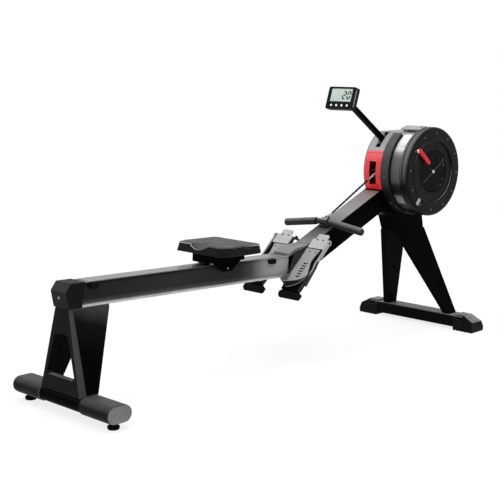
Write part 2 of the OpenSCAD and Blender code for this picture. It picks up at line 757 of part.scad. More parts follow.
bumper_back = 6;        // the bumper's axis lies this far below the plate's line
bumper_drop = 18;
bumper_over = 2;        // the bumper stands this far out past the board's sides
bumper_step = 8;        // and this much lower than its round where it meets the board
module heel_bumpers() {
    half = board_side + bumper_over;
    color("#0c0c0c") for (side = [-1, 1]) on_foot(side)
        translate([-bumper_back, 0, -plate_t - bumper_drop]) {
            across(bumper_r, 2 * half);
            translate([0, -half, -bumper_r])
                cube([board_in + bumper_back, 2 * half, 2 * bumper_r - bumper_step]);
        }
}
// A strap lies folded against each footrest's outer bar, on its lower half
strap_t = 3;
strap_shape = [[52, -26], [150, -16], [178, -8], [174, 2], [146, -2], [48, -12]];
module foot_straps() {
    color("#0b0b0b") for (side = [-1, 1]) on_foot(side)
        translate([0, side * (board_side + bar_t + seat_gap + strap_t / 2), 0])
            side_profile(strap_t) polygon(strap_shape);
}

// ---- Handle ----
port_back = 185;        // where the chain enters the fairing, from the fan's axis
port_down = 5;
chain_port = hub - [port_back, port_down];
chain_dir = [cos(chain_slope), sin(chain_slope)];
handle_at = chain_port - chain_reach * chain_dir;
grip_len = 192;
grip_end_t = 3;         // closed end of a grip, past the end of the bar
bracket_len = 58;       // width of the bracket round the handle's middle
elbow_y = bracket_len / 2 + 3;
elbow_over = 3;         // how far the bar's middle sleeve and its halves run into each other
half_len = (handle_len / 2 - elbow_y) / cos(handle_droop);
nose_x = 40;            // shackle pin ahead of the bar
pin_r = 3;
cheek_in = 5;
cheek_t = 4;
cheek_root = 9;         // half height of the bracket's cheeks at their root
cheek_nose = 6;         // how far they reach past the pin
bracket_r = 14;         // radius of the bracket round the bar
bracket_front = 20;     // its block ahead of the bar
block_w = 34;
block_h = 20;
mid_r = bar_d / 2 + 1;  // straight middle sleeve of the bar
// Handle's frame: at its middle, with X along the chain to the fan
module at_handle() {
    translate([handle_at[0], 0, handle_at[1]]) rotate([0, -chain_slope, 0]) children();
}
// Frame at an elbow of the bar: Z runs outward along the drooping half
module on_half(side) {
    translate([handle_at[0], side * elbow_y, handle_at[1]])
        rotate([-side * (90 + handle_droop), 0, 0]) children();
}
module handle_bar() {
    color("#161616") {
        translate([handle_at[0], 0, handle_at[1]]) across(mid_r, 2 * (elbow_y + elbow_over));
        for (side = [-1, 1]) on_half(side) translate([0, 0, -elbow_over - 1])
            cylinder(d = bar_d, h = half_len + elbow_over + 1 - grip_end_t, $fn = fine);
    }
}
module handle_grips() {
    color("#101010") for (side = [-1, 1]) on_half(side) translate([0, 0, half_len - grip_len])
        difference() {
            cylinder(d = grip_d, h = grip_len, $fn = fine);
            translate([0, 0, -1])
                cylinder(d = bar_d + 2 * fit_gap, h = grip_len + 1 - grip_end_t, $fn = fine);
        }
}
module handle_bracket() {
    root = bracket_front - 1;
    color("#1c1c1c") at_handle() difference() {
        union() {
            across(bracket_r, bracket_len);
            translate([0, -block_w / 2, -block_h / 2]) cube([bracket_front, block_w, block_h]);
            for (side = [-1, 1]) side_profile(cheek_t, side * (cheek_in + cheek_t / 2))
                polygon([[root, -cheek_root], [nose_x - 2, 2 - cheek_root],
                    [nose_x + cheek_nose, -pin_r], [nose_x + cheek_nose, pin_r],
                    [nose_x - 2, cheek_root - 2], [root, cheek_root]]);
        }
        across(mid_r + fit_gap, bracket_len + 2);
        translate([nose_x, 0, 0]) across(pin_r + fit_gap, bracket_len, fn = coarse);
    }
}
shackle_end = 64;
shackle_h = 7;          // half height of the shackle at its pin
shackle_tip_h = 4;
eye_in = 8;
eye_r = 2;
module shackle() {
    tail = nose_x - shackle_h;
    color("silver") at_handle() {
        translate([nose_x, 0, 0]) across(pin_r, 2 * (cheek_in + cheek_t), fn = coarse);
        side_profile(2 * (cheek_in - seat_gap)) difference() {
            polygon([[tail, -shackle_tip_h], [tail + 3, -shackle_h],
                [nose_x + cheek_nose, 1 - shackle_h], [shackle_end, -shackle_tip_h],
                [shackle_end, shackle_tip_h], [nose_x + cheek_nose, shackle_h - 1],
                [tail + 3, shackle_h], [tail, shackle_tip_h]]);
            translate([shackle_end - eye_in, 0]) circle(eye_r, $fn = coarse);
        }
    }
}
rest_len = 40;          // the rubber rest under the handle
rest_w = 48;
rest_h = 30;
rest_ahead = 10;        // its middle, ahead of the handle's along the beam
rest_reach = 100;
module handle_cradle() {
    rest_from = (handle_at - bend) * beam_dir + rest_ahead - rest_len / 2;
    color("#0d0d0d") difference() {
        on_beam(rest_from) translate([0, -rest_w / 2, trim_t]) cube([rest_len, rest_w, rest_h]);
        at_handle() translate([-rest_reach, -rest_w, -bracket_r - seat_gap])
            cube([2 * rest_reach, 2 * rest_w, rest_reach]);
    }
}

// ---- Chain and its return ----
chain_t = 5;
chain_w = 6;
guide_r = 10;
guide_bar = guide_r + chain_t / 2 + seat_gap;
guide_at = chain_port + guide_bar * [sin(chain_slope), -cos(chain_slope)];
sprocket_run = sprocket_r + chain_t / 2 + seat_gap;
trolley_r = 20;
trolley_run = trolley_r + chain_t / 2 + seat_gap;
trolley_s = 74;         // rest place of the trolley's pulley along the beam
trolley_z = -52;
anchor_s = 606;         // fixed end of the chain
anchor_z = -22;
function beam_point(s, z) = bend + s * beam_dir + z * beam_up;
trolley_at = beam_point(trolley_s, trolley_z);
anchor_at = beam_point(anchor_s, anchor_z);
function heading(p, q) = atan2(q[1] - p[1], q[0] - p[0]);
function span(p, q) = norm(q - p);
// Direction of the line off circle p onto circle q, both turned clockwise
function run_dir(p, rp, q, rq) = heading(p, q) + asin((rq - rp) / span(p, q));
function arc_points(c, r, a0, a1, n) = [for (i = [0:n]) c + r * [cos(a0 + (a1 - a0) * i / n),
    sin(a0 + (a1 - a0) * i / n)]];
dir_in = run_dir(guide_at, guide_bar, hub, sprocket_run);
dir_out = run_dir(hub, sprocket_run, trolley_at, trolley_run);
dir_back = run_dir(trolley_at, trolley_run, anchor_at, 0);
// Angle at which the chain leaves a wheel that turns it clockwise from direction a to b
function wrap_end(a, b) = b + 90 - (b > a ? 360 : 0);
chain_points = concat(
    [handle_at + (shackle_end + seat_gap) * chain_dir],
    arc_points(guide_at, guide_bar, chain_slope + 90, dir_in + 90, 3),
    arc_points(hub, sprocket_run, dir_in + 90, wrap_end(dir_in, dir_out), 16),
    arc_points(trolley_at, trolley_run, dir_out + 90, wrap_end(dir_out, dir_back), 16),
    [anchor_at - 5 * [cos(dir_back), sin(dir_back)]]);
// Normal of a polyline at point i
function normal_at(pts, i) =
    let (a = pts[max(0, i - 1)], b = pts[min(len(pts) - 1, i + 1)], d = (b - a) / norm(b - a))
    [-d[1], d[0]];
function band(pts, w) = concat(
    [for (i = [0:len(pts) - 1]) pts[i] + w / 2 * normal_at(pts, i)],
    [for (i = [len(pts) - 1:-1:0]) pts[i] - w / 2 * normal_at(pts, i)]);
module drive_chain() {
    color("lightgray") side_profile(chain_w) polygon(band(chain_points, chain_t));
}
cord_d = 7;
cord_y = 32;
cord_end_s = 560;
trolley_back = 30;      // how far the trolley's frame reaches behind its pulley
spool_at = beam_point(spool_s, spool_z);
cord_run = guide_pin_r + cord_d / 2 + seat_gap;
cord_from = beam_point(trolley_s - trolley_back, spool_z + cord_run);
cord_to = beam_point(cord_end_s, spool_z - cord_run);
module return_cord() {
    color("#222222") side_profile(cord_d, cord_y) polygon(band(concat([cord_from],
        arc_points(spool_at, cord_run, beam_rise + 90, beam_rise + 270, 12), [cord_to]), cord_d));
}
trolley_len = 42;
trolley_w = 44;
trolley_side = 17;
trolley_pin_r = 4;
pulley_w = 8;
side_low = -32;         // the frame's side blocks, from the pulley's axis
side_h = 50;
runner_gap = 0.5;       // between the trolley's runners and the beam's inside
runner_t = 8;
back_t = 3;
clamp_h = 12;
module return_trolley() {
    low = beam_wall - beam_h + runner_gap - trolley_z;
    high = -beam_wall - runner_gap - trolley_z;
    half = beam_w / 2 - beam_wall - runner_gap;
    color("#303030") on_beam(trolley_s) translate([0, 0, trolley_z]) {
        across(trolley_r, pulley_w);
        across(trolley_pin_r, trolley_w, fn = coarse);
        for (side = [-1, 1]) side_profile(trolley_side, side * (trolley_w - trolley_side) / 2)
            translate([-trolley_back, side_low]) square([trolley_len, side_h]);
        translate([-trolley_back, -trolley_w / 2, low]) cube([back_t, trolley_w, high - low]);
        for (z = [low, high - runner_t])
            translate([-trolley_back, -half, z]) cube([trolley_len, 2 * half, runner_t]);
        translate([-trolley_back, trolley_w / 2 - 2, spool_z + cord_run - trolley_z - clamp_h / 2])
            cube([clamp_h, cord_y + cord_d - trolley_w / 2, clamp_h]);
    }
}
teeth_n = 18;
tooth_h = 4;
sprocket_t = 6;
boss_r = 18;
module chain_sprocket() {
    color("#8a8a8a") on_hub() difference() {
        union() {
            translate([0, 0, -sprocket_t / 2]) linear_extrude(sprocket_t)
                polygon([for (i = [0:2 * teeth_n - 1])
                    polar(sprocket_r - (i % 2) * tooth_h, 180 * i / teeth_n)]);
            translate([0, 0, -boss_r / 2]) cylinder(r = boss_r, h = boss_r, $fn = fine);
        }
        translate([0, 0, -boss_r]) cylinder(r = axle_d / 2 + fit_gap, h = 2 * boss_r, $fn = fine);
    }
}

// ---- Housing ----
box_len = 2 * box_y + flange_w;
bearing_r = 20;
bearing_w = 12;
bearing_rim = 6;
fairing_from = 152;
hub_over = [hub_ahead, hub_up] * beam_up;       // the fan's axis above the line of the beam's top
fairing_to = 180 + beam_rise + asin(hub_over / drum_r);
fairing_y = box_y - 2;
arm_slot_from = 118;
arm_slot_to = 147;
arm_back = 113;         // monitor arm's pivot, behind and above the fan's axis
arm_up = 132;
arm_pivot = [-arm_back, arm_up];
arm_pin_r = 5;
lug_in = arm_w / 2 + 1;
lug_t = 4;
lug_r = 14;
exit_from = 208;        // opening through which the chain goes down into the beam
exit_to = 222;
exit_w = 16;
// A curved plate on the fan's circle, between two radii, two angles and two depths
module curved_plate(r_in, r_out, a0, a1, depth) {
    linear_extrude(depth) intersection() {
        difference() {
            circle(r_out, $fn = fine * 2);
            circle(r_in, $fn = fine * 2);
        }
        sector(a0, a1);
    }
}
// Cuts children off level above the fan's axis
module flat_top(z, depth) {
    difference() {
        children();
        translate([-drum_r - 1, z, -1]) cube([2 * drum_r + 2, drum_r, depth + 2]);
    }
}
module housing_shell() {
    color("#c4c4c4") {
        on_hub(box_y) difference() {
            union() {
                flat_top(flat_up, box_len) {
                    ring(drum_r, drum_r - shell_t, box_len);
                    translate([0, 0, box_len - shell_t]) ring(drum_r - 1, bearing_r, shell_t);
                }
                intersection() {
                    cylinder(r = drum_r, h = box_len, $fn = fine * 2);
                    translate([-drum_r, flat_up - shell_t, 0]) cube([2 * drum_r, shell_t, box_len]);
                }
                translate([0, 0, box_len - shell_t]) ring(mesh_r, bearing_r, shell_t);
                translate([0, 0, box_len - bearing_w])
                    ring(bearing_r + bearing_rim, bearing_r, bearing_w);
            }
            translate([0, 0, box_y - fairing_y]) linear_extrude(2 * fairing_y)
                sector(fairing_from, fairing_to);
            translate([0, 0, box_y - arm_w / 2 - 2]) linear_extrude(arm_w + 4)
                sector(arm_slot_from, arm_slot_to);
            translate([0, 0, box_y - exit_w / 2]) linear_extrude(exit_w) sector(exit_from, exit_to);
        }
        for (side = [-1, 1]) on_hub(side * (lug_in + lug_t / 2) + lug_t / 2) linear_extrude(lug_t)
            difference() {
                union() {
                    polygon(concat([for (a = [122, 132, 142]) polar(drum_r - shell_t / 2, a)],
                        [for (a = [210, 310, 23]) arm_pivot + polar(lug_r, a)]));
                    translate(arm_pivot) circle(lug_r, $fn = fine);
                }
                translate(arm_pivot) circle(arm_pin_r + fit_gap, $fn = coarse);
            }
    }
}
cap_t = 6;
cap_in = 2;             // the left cover is this much smaller than the housing
cap_floor = 4;          // metal left behind the bearing in the left cover
spigot_r = 60;
spigot_t = 2;
module housing_left_cover() {
    color("#202020") on_hub(box_y + cap_t) difference() {
        union() {
            flat_top(flat_up - cap_in, cap_t) cylinder(r = drum_r - cap_in, h = cap_t, $fn = fine * 2);
            translate([0, 0, -spigot_t]) cylinder(r = spigot_r, h = spigot_t + 1, $fn = fine);
            cylinder(r = bearing_r + bearing_rim, h = cap_floor + bearing_w, $fn = fine);
        }
        translate([0, 0, cap_floor]) cylinder(r = bearing_r, h = bearing_w + 1, $fn = fine);
    }
}
module axle_bearings() {
    color("silver") {
        for (y = [box_y + cap_t - cap_floor, bearing_w - box_y - flange_w]) on_hub(y)
            ring(bearing_r - fit_gap, axle_d / 2 + fit_gap, bearing_w);
    }
}
slot_half = 19;
slot_top = 50;
slot_low = -60;
fairing_r = drum_r + 1.5;
fairing_gap = 0.2;      // gap at the fairing's ends, in degrees
rib_deg = 2.8;          // width of the raised ribs along those ends, in degrees
rib_up = 4;
frame_in = 34;          // how far the slot's frame reaches inside the drum
frame_w = 3;
module red_fairing() {
    half = fairing_y - seat_gap;
    low = fairing_from + fairing_gap;
    high = fairing_to - fairing_gap;
    color("#c81414") on_hub(half) difference() {
        union() {
            curved_plate(drum_r - shell_t, fairing_r, low, high, 2 * half);
            for (a = [low, high - rib_deg])
                curved_plate(drum_r, fairing_r + rib_up, a, a + rib_deg, 2 * half);
            translate([2 - drum_r, slot_low - frame_w, half - slot_half - frame_w])
                cube([frame_in, slot_top - slot_low + 2 * frame_w, 2 * (slot_half + frame_w)]);
        }
        translate([-fairing_r - rib_up, slot_low, half - slot_half])
            cube([2 * frame_in, slot_top - slot_low, 2 * slot_half]);
    }
}
over_r = 8;             // the upper guide bar, and its play over the chain
guide_play = 1.5;
module chain_guide() {
    over = chain_port + (over_r + chain_t / 2 + guide_play) * [-sin(chain_slope), cos(chain_slope)];
    color("#1a1a1a") {
        translate([guide_at[0], 0, guide_at[1]]) across(guide_r, 2 * slot_half);
        translate([over[0], 0, over[1]]) across(over_r, 2 * slot_half);
    }
}
flange_r = drum_r + 5;
flange_from = 123;
flange_to = 250;
flange_lip = 3;
module side_flange() {
    color("#262626") on_hub(-box_y) {
        curved_plate(drum_r + seat_gap / 2, flange_r, flange_from, flange_to, flange_w);
        translate([0, 0, flange_w + seat_gap])
            curved_plate(mesh_r + 1, flange_r, flange_from, flange_to, flange_lip);
    }
}
mesh_t = 2;
module mesh_drum() {
    color("#8f8f8f") on_hub(-box_y - flange_w) ring(mesh_r, mesh_r - mesh_t, mesh_w);
}
cover_back_y = -box_y - flange_w - mesh_w;
rim_r = 15;
ridge_up = 3;
floor_z = cover_w - 9;          // floor of the dish that holds the damper's ring
lip_in = ring_r - 11;
lip_low = floor_z + 5;
module fan_cover() {
    color("#1e1e1e") on_hub(cover_back_y) rotate_extrude($fn = fine * 2) polygon(concat(
        [[mesh_r - mesh_t - 1, 0], [cover_r, 0]],
        arc_points([cover_r - rim_r, cover_w - rim_r], rim_r, 0, 90, 8),
        [[ring_r + 6, cover_w], [ring_r + 3, cover_w + ridge_up], [ring_r - 4, cover_w + ridge_up],
         [lip_in, lip_low + 3], [lip_in, lip_low], [ring_r - 6, lip_low], [ring_r - 6, floor_z],
         [grille_r + 2, floor_z], [grille_r + 2, floor_z - shell_t], [ring_r - 2, floor_z - shell_t],
         [ring_r - 2, cover_w - shell_t]],
        arc_points([cover_r - rim_r, cover_w - rim_r], rim_r - shell_t, 90, 0, 8),
        [[cover_r - shell_t, shell_t], [mesh_r - mesh_t - 1, shell_t]]));
}
grille_pitch = 7;
grille_bar = 3;         // width and depth of the grille's rings
grille_hub_r = 16;
grille_arms = [58, 148];
module air_grille() {
    color("#0a0a0a") on_hub(cover_back_y) translate([0, 0, floor_z - grille_bar]) {
        for (r = [grille_hub_r + 4:grille_pitch:grille_r - 8]) ring(r + grille_bar, r, grille_bar);
        ring(grille_r + 2 - fit_gap, grille_r - grille_bar, grille_bar);
        cylinder(r = grille_hub_r, h = grille_bar, $fn = fine);
        translate([0, 0, grille_bar])
            cylinder(r1 = grille_hub_r - 4, r2 = grille_hub_r - 7, h = 2 * grille_bar, $fn = fine);
        for (a = grille_arms) rotate(a) translate([1 - grille_r, -1, 1])
            cube([2 * grille_r - 2, 2, grille_bar + 0.5]);
    }
}
damper_angle = 139;
lever_w = 19;
lever_in = 62;
lever_out = 172;
lever_t = 9;
damper_gap = 5;         // between the grille and the damper's ring
damper_t = 3;
tip_len = 8;            // narrower tip at the lever's outer end
tip_in = 3;
foot_in = 12;           // the lever's foot starts this far outside the grille
module damper_ring() {
    color("#141414") on_hub(cover_back_y) translate([0, 0, floor_z + seat_gap])
        ring(ring_r - 6.5, grille_r + damper_gap, damper_t);
}
module damper_lever() {
    low = floor_z + seat_gap + damper_t;
    top = cover_w + ridge_up + seat_gap;
    round_x = lever_in + lever_w / 2;
    color("#d01212") on_hub(cover_back_y) rotate(damper_angle) {
        translate([grille_r + foot_in, tip_in - lever_w / 2, low])
            cube([lip_in - grille_r - foot_in - 4, lever_w - 2 * tip_in, top - low + 1]);
        translate([0, 0, top]) linear_extrude(lever_t) {
            translate([round_x, -lever_w / 2]) square([lever_out - tip_len / 2 - round_x, lever_w]);
            translate([round_x, 0]) circle(d = lever_w, $fn = fine);
            translate([lever_out - tip_len, tip_in - lever_w / 2])
                square([tip_len, lever_w - 2 * tip_in]);
        }
    }
}
screw_r = 180;
screw_head_r = 3.2;
screw_from = -5;        // angle of the first screw round the cover
foot_screw_r = 4;
screw_t = 2;
flange_screws = [150, 185, 222];
module screws() {
    color("#707070") {
        on_hub(cover_back_y - cover_w) for (i = [0:cover_screw_n - 1])
            rotate(screw_from + i * 360 / cover_screw_n) translate([screw_r, 0, 0])
                cylinder(r = screw_head_r, h = screw_t, $fn = coarse);
        on_hub(-box_y - flange_w / 2) for (a = flange_screws) rotate(a) translate([flange_r, 0, 0])
            rotate([0, 90, 0]) cylinder(r = screw_head_r, h = screw_t, $fn = coarse);
        for (side = [-1, 1], y = [-1, 1]) on_foot(side)
            translate([toe_screw_s, y * foot_screw_y - side * foot_screw_in, 0])
                cylinder(r = foot_screw_r, h = screw_t, $fn = coarse);
    }
}
clamp_t = 4;            // plate that clamps the drum at its top, and its bolt
clamp_from = 97;
clamp_to = 112;
clamp_lap = 35;         // how far it lies over the flange, and over the outer cover
clamp_over = 15;
clamp_bolt_a = 103;
clamp_bolt_r = 7;
clamp_bolt_h = 5;
post_back = 62;         // post that carries the plate on the housing's level top
post_w = 24;
post_y = -62;
clip_a = 250;           // clip on the drum's underside
clip_len = 43;
clip_t = 9;
tab_a = 228;            // tab that holds the outer cover
tab_w = 18;
tab_t = 3;
module cover_clamps() {
    color("#bdbdbd") {
        on_hub(cover_back_y + mesh_w + clamp_lap) curved_plate(drum_r + seat_gap / 2,
            drum_r + clamp_t, clamp_from, clamp_to, mesh_w + clamp_lap + clamp_over);
        on_hub(post_y) linear_extrude(post_w) intersection() {
            circle(drum_r + 1, $fn = fine * 2);
            translate([-post_back, flat_up + seat_gap / 2]) square([post_w, drum_r]);
        }
        on_hub(cover_back_y - 1) rotate(clamp_bolt_a) translate([drum_r + clamp_t - 1, 0, 0])
            rotate([0, 90, 0]) cylinder(r = clamp_bolt_r, h = clamp_bolt_h + 1, $fn = coarse);
        on_hub(cover_back_y + clip_len + 0.5) curved_plate(mesh_r + seat_gap / 2,
            mesh_r + clip_t, clip_a - clamp_t, clip_a + clamp_t, clip_len);
        on_hub(cover_back_y - cover_w) rotate(tab_a) translate([ring_r + 7, -tab_w / 2, 0])
            cube([cover_r - rim_r - ring_r - 8, tab_w, tab_t]);
    }
}

// ---- Fan ----
fan_gap = 7;
fan_hub_r = 32;
fan_disc_t = 5;
fan_rim_w = 18;
fan_rim_t = 4;
blade_t = 3;
blade_from = 70;
module flywheel_axle() {
    color("#9a9a9a") on_hub(box_y)
        cylinder(d = axle_d, h = box_len + fan_gap + flywheel_w, $fn = fine);
}
module flywheel() {
    color("#5a5a5a") on_hub(-box_y - flange_w - fan_gap) {
        ring(fan_hub_r, axle_d / 2 + fit_gap, flywheel_w);
        ring(flywheel_r, fan_hub_r - 1, fan_disc_t);
        translate([0, 0, flywheel_w - fan_rim_t])
            ring(flywheel_r, flywheel_r - fan_rim_w, fan_rim_t);
        for (i = [0:blade_n - 1]) rotate(i * 360 / blade_n)
            translate([blade_from, -blade_t / 2, fan_disc_t - 1])
                cube([flywheel_r - blade_from - 6, blade_t, flywheel_w - fan_disc_t - 2]);
    }
}

// ---- Seat ----
top_roller_x = 70;
top_roller_z = track_t + top_roller_r + seat_gap;
top_roller_y = 30;
top_roller_w = 16;
low_roller_y = 40;
low_roller_w = 8;
roller_pin_r = 4;
side_in = 46;           // inside of the carriage's cheeks
hanger_len = 160;       // length of the cheeks' lower part at its top, and at its foot
hanger_foot_len = 52;
hanger_low = -30;
carriage_low = 10;
carriage_t = 6;
bolt_head_r = 7;
bolt_head_w = 5;
module seat_carriage() {
    end = carriage_len / 2;
    hang = hanger_len / 2;
    foot = hanger_foot_len / 2;
    pin = side_in - rail_web_y;
    color("#141414") on_rail(seat_back) {
        translate([-end, -carriage_w / 2, seat_base_up - carriage_t])
            cube([carriage_len, carriage_w, carriage_t]);
        for (side = [-1, 1]) {
            side_profile(carriage_w / 2 - side_in, side * (carriage_w / 2 + side_in) / 2) polygon([
                [-end, seat_base_up - 1], [-end, carriage_low], [-hang, carriage_low],
                [-foot, hanger_low], [foot, hanger_low], [hang, carriage_low],
                [end, carriage_low], [end, seat_base_up - 1]]);
            translate([0, 0, low_roller_z]) {
                across(roller_pin_r, pin, side * (side_in + rail_web_y + 1) / 2, coarse);
                across(bolt_head_r, bolt_head_w, side * (carriage_w / 2 + 2), coarse);
            }
        }
        for (x = [-1, 1]) {
            translate([x * (end - carriage_t / 2) - carriage_t / 2, -carriage_w / 2, carriage_low])
                cube([carriage_t, carriage_w, seat_base_up - carriage_low - 1]);
            translate([x * top_roller_x, 0, top_roller_z])
                across(roller_pin_r, 2 * side_in + 2, fn = coarse);
        }
    }
}
module roller_pair(x, z, r, y, w) {
    color("#e0e0e0") on_rail(seat_back) for (side = [-1, 1]) translate([x, 0, z]) difference() {
        across(r, w, side * y);
        across(roller_pin_r + fit_gap, w + 2, side * y, coarse);
    }
}
module top_rollers(x) { roller_pair(x, top_roller_z, top_roller_r, top_roller_y, top_roller_w); }
module rollers_front() { top_rollers(top_roller_x); }
module rollers_rear() { top_rollers(-top_roller_x); }
module rollers_lower() { roller_pair(0, low_roller_z, low_roller_r, low_roller_y, low_roller_w); }
pan_t = 6;
pan_in = 8;
front_cut = [24, 26];   // the seat's rounded front corners, along and across
seat_corner = 8;
tail_cut = [46, 20];    // and its chamfered rear corners
module seat_outline(inset) {
    x = seat_len / 2 - inset;
    y = seat_w / 2 - inset;
    half = [[-x, y - tail_cut[1]], [tail_cut[0] - x, y], [x - front_cut[0], y],
        [x - seat_corner, y - seat_corner], [x, y - front_cut[1]]];
    n = len(half);
    polygon(concat(half, [for (i = [n - 1:-1:0]) [half[i][0], -half[i][1]]]));
}
module seat_pan() {
    color("#1b1b1b") on_rail(seat_back) translate([0, 0, seat_base_up])
        linear_extrude(pan_t) seat_outline(pan_in);
}
pad_flare = 6;          // how far the pad's skirt spreads toward its foot
pad_edge = 3;           // height of the chamfer round the pad's top, and how far in it runs
pad_top_in = 5;
dip_r = 90;             // scoop at the middle of the seat's rear edge
dip_len = 64;
dip_deep = 18;
module seat_pad() {
    tilt = atan(dip_deep / dip_len);
    color("#555555") on_rail(seat_back) translate([0, 0, seat_base_up]) difference() {
        hull() {
            linear_extrude(pan_t) seat_outline(-pad_flare);
            translate([0, 0, seat_t - pad_edge - 1]) linear_extrude(1) seat_outline(0);
            translate([0, 0, seat_t - 1]) linear_extrude(1) seat_outline(pad_top_in);
        }
        translate([0, 0, -1]) linear_extrude(pan_t + 1) seat_outline(pan_in);
        translate([dip_len - seat_len / 2, 0, seat_t + dip_r]) rotate([0, -90 - tilt, 0])
            cylinder(r = dip_r, h = 2 * dip_len, $fn = fine);
    }
}

// ---- Monitor ----
arm_base = hub + arm_pivot;
arm_dir = [-cos(arm_rise), sin(arm_rise)];
arm_tip = arm_base + arm_len * arm_dir;
arm_h = 20;
tongue_w = 12;
tongue_len = 34;
module on_arm() {
    translate([arm_base[0], 0, arm_base[1]]) rotate([0, arm_rise - 180, 0]) children();
}
module monitor_arm() {
    color("#120c0c") on_arm() {
        difference() {
            union() {
                translate([0, -arm_w / 2, -arm_h / 2]) cube([arm_len - tongue_len, arm_w, arm_h]);
                across(arm_h / 2, arm_w);
                translate([arm_len - tongue_len - 1, -tongue_w / 2, -arm_h / 2 + 2])
                    cube([tongue_len + 1, tongue_w, arm_h - 4]);
                translate([arm_len, 0, 0]) across(arm_h / 2 - 2, tongue_w);
            }
            translate([arm_len, 0, 0]) across(pin_r + fit_gap, tongue_w + 2, fn = coarse);
        }
        across(arm_pin_r, 2 * (lug_in + lug_t), fn = coarse);
    }
}
tilt_back = 49;         // from the monitor's face back to its tilt pin
face_at = arm_tip + tilt_back * [-cos(monitor_lean), sin(monitor_lean)];
// Places children on the monitor's face: X runs up it, Z out of it
module at_monitor() {
    translate([face_at[0], 0, face_at[1]]) rotate([0, monitor_lean - 90, 0]) children();
}
screen_h = 60;
screen_w = 122;
screen_x = 13;
screen_t = 2;
button_x = -35;
button_pitch = 31;
button_up = 2.5;
button_bore = 9;
button_h = 8;
case_corner = 9;
tilt_lug_t = 4;
tilt_lug_r = 8;
tilt_lug_root = 12;
module monitor_case() {
    lug_y = tongue_w / 2 + 0.5;
    color("#161616") at_monitor() {
        difference() {
            translate([0, 0, -monitor_t]) linear_extrude(monitor_t)
                rounded_rect(monitor_h, monitor_w, case_corner);
            translate([screen_x - screen_h / 2, -screen_w / 2, -screen_t])
                cube([screen_h, screen_w, screen_t + 1]);
            for (i = [0:3]) translate([button_x, (i - 1.5) * button_pitch, -button_bore])
                cylinder(d = button_d + 2 * seat_gap, h = button_bore + 1, $fn = coarse);
        }
        for (side = [-1, 1]) side_profile(tilt_lug_t, side * (lug_y + tilt_lug_t / 2)) {
            polygon([[-tilt_lug_root, 1 - monitor_t], [tilt_lug_root, 1 - monitor_t],
                [tilt_lug_r, -tilt_back], [-tilt_lug_r, -tilt_back]]);
            translate([0, -tilt_back]) circle(tilt_lug_r, $fn = coarse);
        }
        translate([0, 0, -tilt_back]) across(pin_r, 2 * lug_y + 2, fn = coarse);
    }
}
module monitor_screen() {
    color("#9fae9f") at_monitor()
        translate([screen_x - screen_h / 2 + seat_gap, seat_gap - screen_w / 2, -screen_t])
            cube([screen_h - 2 * seat_gap, screen_w - 2 * seat_gap, screen_t - seat_gap]);
}
module monitor_button(i) {
    color("#e8e8e8") at_monitor() translate([button_x, (i - 2.5) * button_pitch, button_up - button_h])
        cylinder(d = button_d, h = button_h, $fn = coarse);
}
module monitor_button_1() { monitor_button(4); }
module monitor_button_2() { monitor_button(3); }
module monitor_button_3() { monitor_button(2); }
module monitor_button_4() { monitor_button(1); }

monorail();
rail_track();
rail_end_cap();
rail_stops();
rear_leg();
rear_leg_panels();
rear_foot_tube();
rear_foot_ends();
levelling_feet();
main_beam();
beam_trim();
joint_cover();
front_column();
front_legs();
front_foot_tube();
front_foot_caps();
footrest_frame();
toe_plates();
footrest_bars();
heel_bumpers();
foot_straps();
heel_plate_left();
heel_plate_right();
handle_cradle();
housing_shell();
housing_left_cover();
red_fairing();
chain_guide();
side_flange();
mesh_drum();
fan_cover();
screws();
air_grille();
cover_clamps();
axle_bearings();
flywheel();
flywheel_axle();
chain_sprocket();
damper_lever();
damper_ring();
return_trolley();
return_cord();
handle_bar();
handle_grips();
handle_bracket();
shackle();
drive_chain();
seat_carriage();
seat_pan();
seat_pad();
rollers_front();
rollers_rear();
rollers_lower();
monitor_arm();
monitor_case();
monitor_screen();
monitor_button_1();
monitor_button_2();
monitor_button_3();
monitor_button_4();
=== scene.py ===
import bmesh
import bpy
import json
import math
from mathutils import Matrix, Vector
from mathutils.bvhtree import BVHTree


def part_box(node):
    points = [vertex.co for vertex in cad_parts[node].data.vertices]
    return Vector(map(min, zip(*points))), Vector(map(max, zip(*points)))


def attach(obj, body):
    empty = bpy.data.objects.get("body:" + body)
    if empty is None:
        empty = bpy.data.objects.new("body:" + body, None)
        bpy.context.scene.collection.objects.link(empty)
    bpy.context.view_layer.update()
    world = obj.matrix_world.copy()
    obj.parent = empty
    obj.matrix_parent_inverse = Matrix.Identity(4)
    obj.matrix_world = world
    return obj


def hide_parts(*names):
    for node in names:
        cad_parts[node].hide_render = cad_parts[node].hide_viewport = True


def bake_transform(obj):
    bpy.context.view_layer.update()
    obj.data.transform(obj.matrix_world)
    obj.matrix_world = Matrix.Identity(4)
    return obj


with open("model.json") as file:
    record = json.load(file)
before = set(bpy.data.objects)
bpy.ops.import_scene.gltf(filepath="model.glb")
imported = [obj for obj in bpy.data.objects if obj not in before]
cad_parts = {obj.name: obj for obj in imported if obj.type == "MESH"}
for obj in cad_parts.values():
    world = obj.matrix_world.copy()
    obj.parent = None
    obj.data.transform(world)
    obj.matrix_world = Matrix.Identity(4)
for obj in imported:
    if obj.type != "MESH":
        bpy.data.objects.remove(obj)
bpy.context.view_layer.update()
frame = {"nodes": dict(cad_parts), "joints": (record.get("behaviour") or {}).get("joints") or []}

scene = bpy.context.scene
nodes = frame["nodes"]
joints = {j["name"]: j for j in frame["joints"]}


# ---- Places, all from the frame ----
def aimed(z, at):
    """Axes whose Z points along z, with their origin at a place."""
    m = z.to_track_quat("Z", "Y").to_matrix().to_4x4()
    m.translation = at
    return m


def sideways(side, at):
    """Axes whose Z points out to the left (side 1) or the right (-1)."""
    m = Matrix.Rotation(math.radians(-90 * side), 4, "X")
    m.translation = at
    return m


